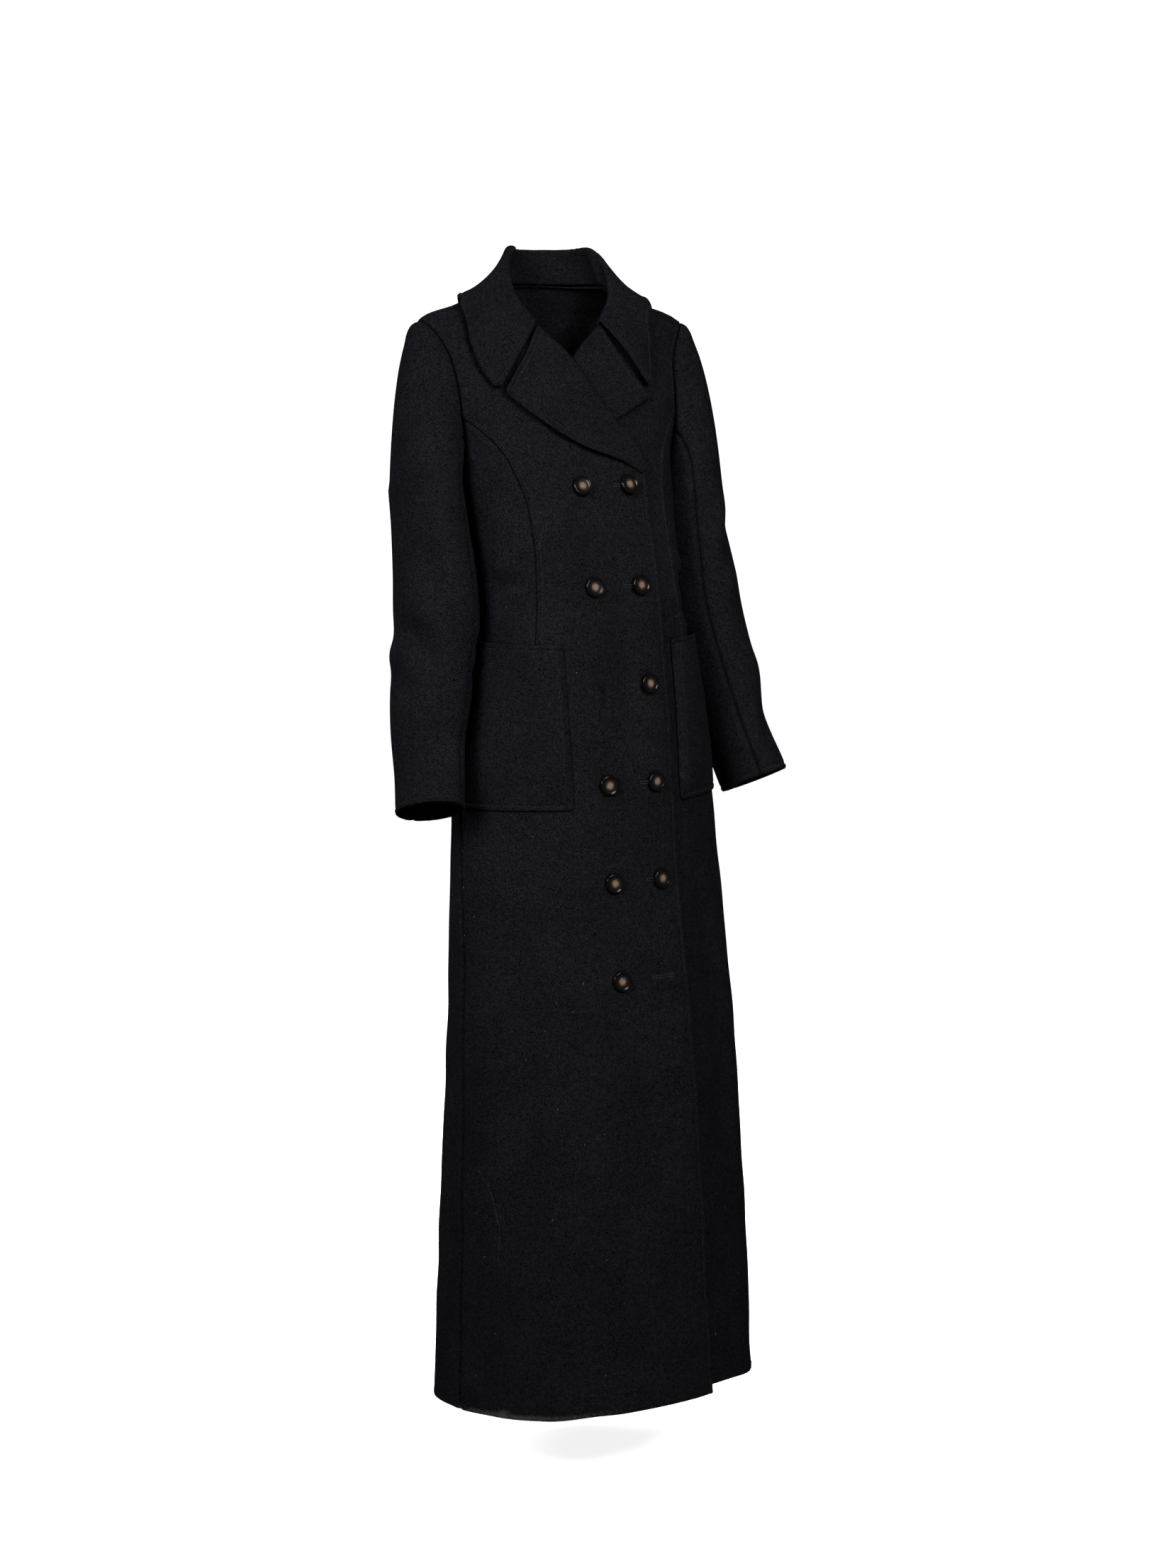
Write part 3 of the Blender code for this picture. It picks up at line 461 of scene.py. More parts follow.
def body_cloth(places, side, offset=0.0, lifted=True):
    """Points in the middle of a wall laid on the body, and the directions out of the cloth."""
    places = np.asarray(places, float)
    q, level = places[..., 0], places[..., 1]
    around = SURFACE.at(q + SLOPE_Q, level, side) - SURFACE.at(q - SLOPE_Q, level, side)
    upward = SURFACE.at(q, level + SLOPE_LEVEL, side) - SURFACE.at(q, level - SLOPE_LEVEL, side)
    normals = unit(np.cross(around, upward) * side)
    points = SURFACE.at(q, level, side)
    z, across = points[..., 2], side * q * half_girth(level)
    swell = (1.0 - smooth_step(z, *BODY_EASE_ENDS_Z)) * ease(across, z, BODY_EASE_SEED, BODY_EASE)
    out = flute_depth(q, z) + fold_depth(across, z, BODY_FOLDS) + swell + offset
    if lifted:
        out = out + front_lift(q, level, side)
    return points + normals * out[..., None], normals


def line_place(line, share):
    """(q, level) at a share of the length of a line given as heights and cloth from the centre."""
    rows = np.array([(level_at(z), from_centre) for z, from_centre in line])
    lengths = run_along(rows)
    level, from_centre = SmoothTable(lengths, rows).at(np.array(share * lengths[-1]))
    return np.array([q_of(from_centre, level), level])


def princess_q(level):
    """q of the princess seam below the underarm."""
    seam = SmoothTable([z for z, _ in PRINCESS_LINE], PRINCESS_LINE)
    return q_of(seam.at(np.array(height_at(level)))[1], level)


def armhole_place(step):
    """(q, level) of a place on the armhole's oval: step 0 at the shoulder, half way at the underarm."""
    angle = 2 * math.pi * step / ARMHOLE_STEPS
    middle, half = (SHOULDER_Z + UNDERARM_Z) / 2, (SHOULDER_Z - UNDERARM_Z) / 2
    level = level_at(middle + half * math.cos(angle))
    gap = (ARMHOLE_FRONT_GAP if math.sin(angle) > 0 else ARMHOLE_BACK_GAP) * math.sin(angle)
    return np.array([side_q(level) - gap / half_girth(level), level])


def princess_top(share):
    """(q, level) on the princess seam from the underarm's height, 0, to the armhole, 1."""
    start = np.array([princess_q(UNDERARM_LEVEL), UNDERARM_LEVEL])
    end = armhole_place(ARMHOLE_PRINCESS_STEP)
    bend = start + PRINCESS_BEND * (end - start)
    return start * (1 - share) ** 2 + bend * 2 * share * (1 - share) + end * share**2


def neck_seam(share, side):
    """(q, level) on the front's collar seam from the notch, 0, to the shoulder seam, 1."""
    start = line_place(ROLL_LINE[side], 1.0)
    return start + (np.array([side_q(NECK_LEVEL), NECK_LEVEL]) - start) * share


def shoulder_place(share, clear):
    """(q, level) on the shoulder seam from the armhole, 0, to the neck, 1."""
    level = SHOULDER_LEVEL + (NECK_LEVEL - SHOULDER_LEVEL) * share
    return inset((side_q(level), level), clear - SHOULDER_FORWARD * 4 * share * (1 - share))


def inset(place, amount):
    """The place moved round its section by some cloth."""
    return np.array([place[0] + amount / half_girth(place[1]), place[1]])


def hem_level(q, level, side):
    """A row's level at q, raised at the front as it nears the hem."""
    fade = 1.0 - smooth_step(level, 0.0, level_at(HEM_RISE_FADES_Z))
    away = np.minimum(1.0, np.abs(q) * half_girth(level) / HEM_RISE_SPAN)
    return level + HEM_FRONT_RISE[side] * fade * np.cos(math.pi / 2 * away) ** 2


def close_lines(width, first, last, count):
    """Shares of a width: lines at set distances from its two ends and even ones between."""
    shrink = min(1.0, CLOSE_LINES_SHARE * width / max(first[-1] + last[-1], TINY))
    start = np.array(first) * shrink / width
    end = 1.0 - np.array(last)[::-1] * shrink / width
    return np.concatenate([start, np.linspace(start[-1], end[0], count + 2)[1:-1], end])


def row_of(level, q_start, q_end, first, last, count, side):
    """A row of places at one level between two values of q."""
    width = abs(q_end - q_start) * half_girth(level)
    q = q_start + (q_end - q_start) * close_lines(width, first, last, count)
    return np.stack([q, hem_level(q, level, side)], axis=-1)


def skirt_levels():
    height = STEP_Z - HEM_Z
    return level_at(HEM_Z + height * close_lines(height, RAW_EDGE, OPEN_GRID, SKIRT_ROWS))


def bodice_levels():
    return level_at(np.linspace(STEP_Z, UNDERARM_Z, BODICE_ROWS + 1))


def upper_grid(bottom, top_at, left_at, right_at):
    """Places above the underarm, filled in between a row and three edges given by shares of their way."""
    across = (bottom[:, 0] - bottom[0, 0]) / (bottom[-1, 0] - bottom[0, 0])
    up = close_lines(UPPER_HEIGHT, OPEN_GRID, PLAIN_SEAM, UPPER_ROWS)
    top = np.array([top_at(share) for share in across])
    left = np.array([left_at(share) for share in up])
    right = np.array([right_at(share) for share in up])
    u, v = across[None, :, None], up[:, None, None]
    ruled_up = bottom[None] * (1 - v) + top[None] * v
    ruled_across = left[:, None] * (1 - u) + right[:, None] * u
    bottom_corners = bottom[0] * (1 - u) + bottom[-1] * u
    top_corners = top[0] * (1 - u) + top[-1] * u
    return ruled_up + ruled_across - bottom_corners * (1 - v) - top_corners * v


def run_from(points, axis, backward=False):
    """Distance of each point of a grid from its first or last line, along the cloth."""
    steps = np.linalg.norm(np.diff(points, axis=axis), axis=-1)
    total = np.cumsum(steps, axis=axis)
    start = np.zeros_like(np.take(total, [0], axis=axis))
    run = np.concatenate([start, total], axis=axis)
    return np.take(run, [-1], axis=axis) - run if backward else run


def respace(points, axis, first, last, count):
    """The grid with its points along one axis spaced anew: close at the ends and even between."""
    spaced = []
    for line in np.moveaxis(points, axis, 1):
        run = run_from(line, 0)
        wanted = close_lines(run[-1], first, last, count) * run[-1]
        spaced.append(np.stack([np.interp(wanted, run, line[:, k]) for k in range(3)], axis=-1))
    return np.moveaxis(np.array(spaced), 1, axis)


def round_corner(points, last_row, last_column, radius):
    """The grid with one corner rounded: that of its first or last row and column."""
    flip = (slice(None, None, -1 if last_row else 1), slice(None, None, -1 if last_column else 1))
    grid = points[flip]
    down, across = run_from(grid, 0), run_from(grid, 1)
    x, y = np.clip(1 - across / radius, 0, 1), np.clip(1 - down / radius, 0, 1)
    move_across = radius * (1 - x * np.sqrt(1 - y * y / 2)) - across
    move_down = radius * (1 - y * np.sqrt(1 - x * x / 2)) - down
    inside = (x > 0) & (y > 0)
    moved = unit(np.gradient(grid, axis=1)) * move_across[..., None]
    moved += unit(np.gradient(grid, axis=0)) * move_down[..., None]
    return (grid + moved * inside[..., None])[flip]


def ridge(distance, height, middle, width):
    return height * hump(distance, middle, width)


def seam_relief(distance, depth=SEAM_GROOVE):
    """Cloth dips into a seam and swells beside it."""
    return ridge(distance, *SEAM_SWELL) - ridge(distance, depth, 0.0, SEAM_GROOVE_WIDTH)


def stitched_relief(distance, line=STITCH_IN):
    """Cloth swells between an edge and its stitching, which is pulled in."""
    return ridge(distance, *STITCH_SWELL) - ridge(distance, STITCH_PULL, line, STITCH_PULL_WIDTH)


def lap_relief(distance):
    """An edge that laps over its neighbour stands out as far as its stitching."""
    return LAP_HEIGHT * (1 - smooth_step(distance, *LAP_ENDS))


# Materials

NOISE_ROUGHNESS = 0.6
MIX_FACTOR, MIX_FIRST, MIX_SECOND, MIX_RESULT = 0, 6, 7, 2
# Samples and reach of the painted shade laid into the wool's seams and under its edges
CREVICE_SAMPLES = 8
CREVICE_REACH = 0.012
HORN_CLOUDING = 0.34
WHITE = (1.0, 1.0, 1.0, 1.0)


class Look:
    """A material in the making, with the nodes that give it colour and relief."""

    def __init__(self, name):
        self.material = bpy.data.materials.new(name)
        self.material.use_nodes = True
        self.tree = self.material.node_tree
        self.place = self.add("ShaderNodeTexCoord", {}).outputs["Object"]

    def feed(self, node, inputs):
        """Sets a node's inputs to values or links them to other nodes."""
        for name, value in inputs.items():
            if isinstance(value, bpy.types.NodeSocket):
                self.tree.links.new(value, node.inputs[name])
            else:
                node.inputs[name].default_value = value

    def add(self, kind, inputs, operation=None):
        node = self.tree.nodes.new(kind)
        if operation:
            node.operation = operation
        self.feed(node, inputs)
        return node

    def noise(self, scale, detail, distortion=0.0, place=None):
        inputs = {"Scale": scale, "Detail": detail, "Roughness": NOISE_ROUGHNESS, "Distortion": distortion}
        inputs["Vector"] = self.place if place is None else place
        return self.add("ShaderNodeTexNoise", inputs).outputs["Fac"]

    def ramp(self, value, stops):
        node = self.add("ShaderNodeValToRGB", {"Fac": value})
        elements = node.color_ramp.elements
        while len(elements) < len(stops):
            elements.new(0.5)
        for element, (place, colour) in zip(elements, stops):
            element.position = place
            element.color = (*colour, 1.0)
        return node.outputs["Color"]

    def greys(self, value, stops):
        return self.ramp(value, [(place, (grey, grey, grey)) for place, grey in stops])

    def blend(self, kind, factor, first, second):
        node = self.tree.nodes.new("ShaderNodeMix")
        node.data_type = "RGBA"
        node.blend_type = kind
        self.feed(node, {MIX_FACTOR: factor, MIX_FIRST: first, MIX_SECOND: second})
        return node.outputs[MIX_RESULT]

    def shade(self, colour, greys):
        return self.blend("MULTIPLY", 1.0, colour, greys)

    def bump(self, height, strength, distance, below=None):
        inputs = {"Height": height, "Strength": strength, "Distance": distance}
        if below is not None:
            inputs["Normal"] = below
        return self.add("ShaderNodeBump", inputs).outputs["Normal"]

    def finish(self, inputs):
        self.feed(self.tree.nodes["Principled BSDF"], inputs)
        return self.material


def painted_crevice_shade(look):
    """Painted shade: the cloth's colour darkened where it lies in a seam or under an edge, where other
    surfaces stand close round it.
    """
    node = look.add("ShaderNodeAmbientOcclusion", {"Distance": CREVICE_REACH})
    node.samples = CREVICE_SAMPLES
    return look.greys(node.outputs["AO"], ((0.40, 0.22), (0.86, 1.0)))


def wool_material(name, dark, light, fleck):
    """Felted wool: matte, mottled, with a short uneven nap, pale fibres caught in it and painted shade in
    its seams and under its edges.
    """
    look = Look(name)
    nap = look.noise(scale=620.0, detail=5.0, distortion=0.6)
    tufts = look.noise(scale=190.0, detail=4.0, distortion=0.3)
    cloud = look.noise(scale=16.0, detail=3.0)
    strands = look.noise(scale=330.0, detail=2.0, distortion=2.5)
    colour = look.ramp(nap, ((0.36, dark), (0.66, light)))
    colour = look.shade(colour, look.greys(cloud, ((0.30, 0.84), (0.70, 1.12))))
    colour = look.shade(colour, look.greys(tufts, ((0.32, 0.80), (0.68, 1.16))))
    caught = look.greys(strands, ((0.735, 0.0), (0.80, 0.55)))
    colour = look.blend("MIX", caught, colour, (*fleck, 1.0))
    soft = look.bump(tufts, strength=0.35, distance=0.0012)
    inputs = {
        "Base Color": look.shade(colour, painted_crevice_shade(look)),
        "Roughness": look.greys(tufts, ((0.3, 0.86), (0.7, 0.98))),
        "Normal": look.bump(nap, strength=0.55, distance=0.0006, below=soft),
        "Specular IOR Level": 0.0,
        "Sheen Weight": 0.003,
        "Sheen Roughness": 0.55,
        "Sheen Tint": (0.62, 0.64, 0.74, 1.0),
    }
    return look.finish(inputs)


def thread_material(name, dark, light):
    """Twisted sewing thread."""
    look = Look(name)
    twist = look.noise(scale=1400.0, detail=2.0)
    inputs = {
        "Base Color": look.ramp(twist, ((0.3, dark), (0.7, light))),
        "Normal": look.bump(twist, strength=0.5, distance=0.0002),
        "Roughness": 0.7,
        "Specular IOR Level": 0.10,
    }
    return look.finish(inputs)


def horn_material():
    """Polished dark horn with a light brown heart, cloudy between the two."""
    look = Look("horn")
    shares = (1.0 / BUTTON_RADIUS, 1.0 / BUTTON_RADIUS, 0.0)
    flat = look.add("ShaderNodeVectorMath", {0: look.place, 1: shares}, "MULTIPLY")
    reach = look.add("ShaderNodeVectorMath", {0: flat.outputs[0]}, "LENGTH").outputs["Value"]
    world = look.add("ShaderNodeNewGeometry", {}).outputs["Position"]
    cloud = look.noise(scale=420.0, detail=4.0, distortion=1.2, place=world)
    uneven = look.add("ShaderNodeMath", {0: cloud, 1: HORN_CLOUDING, 2: reach}, "MULTIPLY_ADD")
    stops = (
        (0.36, (0.110, 0.078, 0.058)),
        (0.46, (0.080, 0.052, 0.036)),
        (0.56, (0.024, 0.0145, 0.0095)),
        (0.72, (0.0040, 0.0030, 0.0026)),
        (1.00, (0.0018, 0.0017, 0.0017)),
    )
    ripple = look.noise(scale=260.0, detail=2.0, place=world)
    inputs = {
        "Base Color": look.ramp(uneven.outputs[0], stops),
        "Roughness": look.greys(reach, ((0.70, 0.22), (0.86, 0.10))),
        "Normal": look.bump(ripple, strength=0.05, distance=0.0004),
        "Specular IOR Level": 0.07,
        "Coat Weight": 0.05,
        "Coat Roughness": 0.10,
    }
    return look.finish(inputs)


def fibre_material(name, colour):
    look = Look(name)
    shade = look.greys(look.noise(scale=60.0, detail=2.0), ((0.3, 0.55), (0.7, 1.1)))
    inputs = {
        "Base Color": look.shade((*colour, 1.0), shade),
        "Roughness": 0.85,
        "Specular IOR Level": 0.15,
    }
    return look.finish(inputs)


WOOL = wool_material(
    "wool",
    dark=(0.0010, 0.0010, 0.0013),
    light=(0.0098, 0.0098, 0.0119),
    fleck=(0.027, 0.027, 0.030),
)
THREAD = thread_material("thread", (0.0050, 0.0050, 0.0060), (0.0170, 0.0170, 0.0200))
LIGHT_THREAD = thread_material("light_thread", (0.0080, 0.0080, 0.0095), (0.0270, 0.0270, 0.0310))
# Near-black thread colour for the cut threads of the lost button, also laid over each buttonhole's cut as
# painted shade
DARK_THREAD_AND_SLIT_SHADE = thread_material("slit", (0.0004, 0.0004, 0.0005), (0.0010, 0.0010, 0.0012))
HORN = horn_material()
PALE_FIBRE = fibre_material("pale_fibre", (0.30, 0.30, 0.31))
HAIR = fibre_material("hair", (0.075, 0.075, 0.080))
DARK_FIBRE = fibre_material("dark_fibre", (0.013, 0.013, 0.016))


# Meshes

RIM_ROUNDING = 0.42


def add_object(name, data):
    made = bpy.data.objects.new(name, data)
    bpy.context.scene.collection.objects.link(made)
    return made


def add_mesh(name, points, faces, look):
    mesh = bpy.data.meshes.new(name)
    mesh.from_pydata(np.asarray(points).tolist(), [], faces)
    mesh.materials.append(look)
    return add_object(name, mesh)


def add_piece(name, points, faces, look):
    made = add_mesh(name, points, faces, look)
    made.data.shade_smooth()
    return made


def circle(sides):
    """Cosine and sine of even turns round a circle."""
    angles = [2 * math.pi * k / sides for k in range(sides)]
    return [(math.cos(angle), math.sin(angle)) for angle in angles]


def tube_faces(first, rings, sides):
    """Faces between rings of points that follow each other, from the first point's index."""
    faces = []
    for start in range(first, first + (rings - 1) * sides, sides):
        for k in range(sides):
            a, b = start + k, start + (k + 1) % sides
            faces.append((a, b, b + sides, a + sides))
    return faces


def outline_edges(keep):
    """Edges of the kept cells of a grid that no other kept cell shares, as pairs of (row, column)."""
    rows, columns = keep.shape
    edges = []
    for i, j in zip(*np.nonzero(keep)):
        corners = ((i, j), (i, j + 1), (i + 1, j + 1), (i + 1, j))
        neighbours = ((i - 1, j), (i, j + 1), (i + 1, j), (i, j - 1))
        for k, (a, b) in enumerate(neighbours):
            if not (0 <= a < rows and 0 <= b < columns and keep[a, b]):
                edges.append((corners[k], corners[(k + 1) % 4]))
    return edges


def cloth_shell(name, points, normals, keep):
    """A closed wall of cloth with rounded edges over the kept cells of a grid of middle points."""
    rows, columns = points.shape[:2]
    count = rows * columns
    index = np.arange(count).reshape(rows, columns)
    middle, out = points.reshape(-1, 3), normals.reshape(-1, 3)
    i, j = np.nonzero(keep)
    quads = np.stack([index[i, j], index[i, j + 1], index[i + 1, j + 1], index[i + 1, j]], axis=-1)
    a, b = np.array([(index[start], index[end]) for start, end in outline_edges(keep)]).T
    aside = np.cross(middle[b] - middle[a], out[a])
    rim_way = np.zeros_like(middle)
    np.add.at(rim_way, a, aside)
    np.add.at(rim_way, b, aside)
    sample = quads[len(quads) // 2]
    corner, across, _, above = middle[sample]
    if np.cross(across - corner, above - corner) @ out[sample[0]] < 0:
        quads = quads[:, ::-1]
        rim_way = -rim_way
    half = out * CLOTH / 2
    rim = middle + unit(rim_way) * CLOTH * RIM_ROUNDING
    all_points = np.concatenate([middle + half, middle - half, rim])
    rim_a, rim_b = a + 2 * count, b + 2 * count
    rims = np.array([(a, b, rim_b, rim_a), (rim_a, rim_b, b + count, a + count)])
    rims = rims.transpose(2, 0, 1).reshape(-1, 4)
    used, faces = np.unique(np.concatenate([quads, quads[:, ::-1] + count, rims]), return_inverse=True)
    made = add_piece(name, all_points[used], faces.reshape(-1, 4).tolist(), WOOL)
    turn_outwards(made.data)
    return made


def turn_outwards(mesh):
    """Turns every face of a closed mesh outwards."""
    work = bmesh.new()
    work.from_mesh(mesh)
    bmesh.ops.recalc_face_normals(work, faces=work.faces)
    work.to_mesh(mesh)
    work.free()


def sew(node, points, normals, keep=None):
    """Puts a cloth piece in place of its solid and hides the solid."""
    if keep is None:
        keep = np.ones((points.shape[0] - 1, points.shape[1] - 1), bool)
    piece = cloth_shell(f"coat_{node}", points, normals, keep)
    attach(piece, BODY)
    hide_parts(node)


class Strands:
    """Thin round strands gathered into one mesh."""

    SIDES = 3

    def __init__(self):
        self.points, self.faces = [], []

    def tube(self, path, radii, aside, above):
        """A strand along a path, round in the plane of two directions at each of its points."""
        self.faces += tube_faces(len(self.points), len(path), self.SIDES)
        for middle, radius, x, y in zip(path, radii, aside, above):
            for cosine, sine in circle(self.SIDES):
                self.points.append(middle + radius * (x * cosine + y * sine))

    def make(self, name, look):
        made = add_piece(name, self.points, self.faces, look)
        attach(made, BODY)


class Thread(Strands):
    """Stitches, each a bead by share of its length, height over the cloth and size."""

    SIDES = 5
    BEAD = ((0.0, -0.9, 0.55), (0.18, 0.35, 0.95), (0.5, 0.75, 1.0), (0.82, 0.35, 0.95), (1.0, -0.9, 0.55))
    FIRST_SHARE = 0.3

    def stitch(self, start, end, normal, radius=THREAD_RADIUS):
        aside = np.cross(normal, unit(end - start))
        path = [start + (end - start) * share + normal * height * radius for share, height, _ in self.BEAD]
        radii = [radius * size for _, _, size in self.BEAD]
        self.tube(path, radii, [aside] * len(path), [normal] * len(path))

    def run(self, path, normals):
        """Stitches along a path on the cloth."""
        run = run_along(path)
        for d in np.arange(STITCH_PITCH * self.FIRST_SHARE, run[-1] - STITCH_LENGTH, STITCH_PITCH):
            start, end = (value_at(d + ahead, run, path) for ahead in (0.0, STITCH_LENGTH))
            self.stitch(start, end, unit(value_at(d + STITCH_LENGTH / 2, run, normals)))

    def follow(self, points, normals, *lines):
        """Stitches on the outer face of a wall, along lines of its grid."""
        top = points + normals * CLOTH / 2
        for line in lines:
            self.run(top[line], normals[line])


def value_at(distance, run, values):
    return np.array([np.interp(distance, run, values[:, k]) for k in range(3)])


# Panels

PRINCESS_SHARE = 5 / 12
ROLL_SHARE = 8 / 12
BACK_SHOULDER_SHARE = 5 / 9
SIDE_FRONT_TOP = 0.976
SIDE_FRONT_UPPER_ROWS = 40


def front_grid(side):
    """Places of a front and its kept cells; the upper part lies inside the princess seam."""
    skirt = skirt_levels()
    rows = []
    for level in np.concatenate([skirt, bodice_levels()[1:]]):
        gap = q_of(HALF_SEAM, level)
        side_seam, princess = side_seam_q(level) - gap, princess_q(level) - gap
        side_part = row_of(level, side_seam, princess, PLAIN_SEAM, OPEN_GRID, FRONT_SIDE_COLUMNS, side)
        edge = q_of(-OVERLAP, level)
        front_part = row_of(level, princess, edge, STITCHED_EDGE, STITCHED_EDGE, FRONT_COLUMNS, side)
        rows.append(np.concatenate([side_part[:-1], front_part]))
    lower = np.array(rows)
    split = len(side_part) - 1
    upper = upper_grid(
        lower[-1, split:],
        top_at=lambda share: shoulder_place(share, -HALF_SEAM),
        left_at=front_rise,
        right_at=lambda share: front_edge(share, side),
    )
    blank = np.repeat(upper[:, :1], split, axis=1)
    places = np.concatenate([lower, np.concatenate([blank, upper], axis=1)[1:]])
    keep = np.ones((len(places) - 1, places.shape[1] - 1), bool)
    keep[len(skirt) - 1 :, :split] = False
    return places, keep, split, len(skirt) - 1, len(lower) - 1


def front_rise(share):
    """(q, level) up the outer edge of a front above the underarm: princess seam, then armhole."""
    if share <= PRINCESS_SHARE:
        return inset(princess_top(share / PRINCESS_SHARE), -HALF_SEAM)
    step = ARMHOLE_PRINCESS_STEP * (1 - (share - PRINCESS_SHARE) / (1 - PRINCESS_SHARE))
    return inset(armhole_place(step), -HALF_SEAM)


def front_edge(share, side):
    """(q, level) up the inner edge of a front above the break: roll line, then collar seam."""
    if share <= ROLL_SHARE:
        return line_place(ROLL_LINE[side], share / ROLL_SHARE)
    return neck_seam((share - ROLL_SHARE) / (1 - ROLL_SHARE), side)


def make_front(side, thread):
    name = SIDE_NAMES[side]
    places, keep, split, step_row, chest_row = front_grid(side)
    plain, _ = body_cloth(places, side)
    from_seam, to_edge = run_from(plain[:, split:], 1), run_from(plain[:, split:], 1, True)
    offset = np.zeros(places.shape[:2])
    offset[step_row:, split:] += lap_relief(from_seam[step_row:]) + stitched_relief(from_seam[step_row:])
    offset[: chest_row + 1, split:] += stitched_relief(to_edge[: chest_row + 1])
    from_side = run_from(plain[: step_row + 1, : split + 1], 1)
    offset[: step_row + 1, : split + 1] += seam_relief(from_side)
    offset[:, split:] += seam_relief(run_from(plain[:, split:], 0, True), SHOULDER_GROOVE)
    points, normals = body_cloth(places, side, offset)
    sew(f"front_{name}", points, normals, keep)
    edge = points.shape[1] - 1 - STITCH_LINE
    last = chest_row + int(PRINCESS_SHARE * UPPER_ROWS)
    lines = np.s_[: chest_row - 1, edge], np.s_[step_row:last, split + STITCH_LINE]
    thread.follow(points, normals, *lines)


def make_side_front(side):
    name = SIDE_NAMES[side]
    rows = []
    for k, level in enumerate(bodice_levels()):
        level += SEAM if k == 0 else 0.0
        gap = q_of(HALF_SEAM, level)
        side_seam, princess = side_seam_q(level) - gap, princess_q(level) + gap
        rows.append(row_of(level, side_seam, princess, PLAIN_SEAM, PLAIN_SEAM, SIDE_FRONT_COLUMNS, side))
    underarm_step = ARMHOLE_STEPS / 2
    for share in np.linspace(0, SIDE_FRONT_TOP, SIDE_FRONT_UPPER_ROWS)[1:]:
        start = armhole_place(underarm_step - share * (underarm_step - ARMHOLE_PRINCESS_STEP))
        end = inset(princess_top(share), HALF_SEAM)
        width = abs(end[0] - start[0]) * half_girth(end[1])
        lines = close_lines(width, PLAIN_SEAM, PLAIN_SEAM, SIDE_FRONT_COLUMNS)
        rows.append(start + (end - start) * lines[:, None])
    places = np.array(rows)
    plain, _ = body_cloth(places, side)
    offset = seam_relief(run_from(plain, 1)) + seam_relief(run_from(plain, 1, True), LAPPED_GROOVE)
    points, normals = body_cloth(places, side, offset)
    sew(f"side_front_{name}", points, normals)


def make_back(side):
    rows = []
    for level in np.concatenate([skirt_levels(), bodice_levels()[1:]]):
        gap = q_of(HALF_SEAM, level)
        side_seam, centre = side_seam_q(level) + gap, 1.0 - gap
        rows.append(row_of(level, side_seam, centre, PLAIN_SEAM, PLAIN_SEAM, BACK_COLUMNS, side))
    lower = np.array(rows)
    rise = NECK_LEVEL - UNDERARM_LEVEL
    upper = upper_grid(
        lower[-1],
        top_at=back_top,
        left_at=lambda share: inset(armhole_place(ARMHOLE_STEPS / 2 * (1 + share)), HALF_SEAM),
        right_at=lambda share: inset((1.0, UNDERARM_LEVEL + rise * share), -HALF_SEAM),
    )
    places = np.concatenate([lower, upper[1:]])
    plain, _ = body_cloth(places, side)
    offset = seam_relief(run_from(plain, 1)) + seam_relief(run_from(plain, 1, True))
    offset += seam_relief(run_from(plain, 0, True), SHOULDER_GROOVE)
    points, normals = body_cloth(places, side, offset)
    sew(f"back_{SIDE_NAMES[side]}", points, normals)


def back_top(share):
    """(q, level) along the top of a back: shoulder seam, then neck."""
    if share <= BACK_SHOULDER_SHARE:
        return shoulder_place(share / BACK_SHOULDER_SHARE, HALF_SEAM)
    start = shoulder_place(1.0, HALF_SEAM)
    end = inset((1.0, NECK_LEVEL), -HALF_SEAM)
    t = (share - BACK_SHOULDER_SHARE) / (1 - BACK_SHOULDER_SHARE)
    return np.array([start[0] + (end[0] - start[0]) * t, NECK_LEVEL])


# Lapels, pockets and collar

LAPEL_LENGTH = 0.20
LAPEL_BREAK = (0.0, 0.002, 0.005)
LAPEL_START = 0.35 / 8
LAPEL_ROWS = 46
LAPEL_COLUMNS = 14
LAPEL_FULL_WIDTH = 0.11
LAPEL_BELLY = 0.0016
LAPEL_STITCH_FADE = (0.012, 0.030)
LAPEL_STITCHED_WIDTH = 0.022
LAPEL_STITCHED_COLUMN = 2


def make_lapel(side, thread):
    """A lapel, from the roll line to its outer edge, from the break up to the notch."""
    name = SIDE_NAMES[side]
    shares = close_lines(LAPEL_LENGTH, LAPEL_BREAK, STITCHED_EDGE, LAPEL_ROWS)
    shares = LAPEL_START + (1 - LAPEL_START) * shares
    rows = []
    for share in shares:
        start, end = line_place(LAPEL_ROLL[side], share), line_place(LAPEL_EDGE[side], share)
        width = max(abs(end[0] - start[0]) * half_girth(start[1]), abs(end[1] - start[1]))
        lines = close_lines(width, OPEN_GRID, STITCHED_EDGE, LAPEL_COLUMNS)
        rows.append(start + (end - start) * lines[:, None])
    places = np.array(rows)
    plain, _ = body_cloth(places, side)
    wide = np.maximum(run_from(plain, 1)[:, -1:], TINY)
    across = run_from(plain, 1) / wide
    belly = LAPEL_BELLY * np.sin(math.pi * np.sqrt(across)) + LAPEL_BELLY * (1 - across) ** 2
    offset = LAID_ON + belly * smooth_step(wide, 0.0, LAPEL_FULL_WIDTH)
    offset += stitched_relief(run_from(plain, 1, True)) * smooth_step(wide, *LAPEL_STITCH_FADE)
    offset += stitched_relief(run_from(plain, 0, True))
    lift = LapelLift(*LAPEL_LIFTS[side])
    offset += lift.height * smooth_step(shares, lift.start, lift.full)[:, None] * across**2
    points, normals = body_cloth(places, side, offset)
    points = round_corner(points, True, True, LAPEL_TIP_RADIUS)
    sew(f"lapel_{name}", points, normals)
    column, row = points.shape[1] - 1 - STITCH_LINE, points.shape[0] - 1 - STITCH_LINE
    first = int(np.argmax(wide[:, 0] > LAPEL_STITCHED_WIDTH))
    up_edge = np.s_[first : row + 1, column]
    thread.follow(points, normals, up_edge, np.s_[row, LAPEL_STITCHED_COLUMN : column + 1])


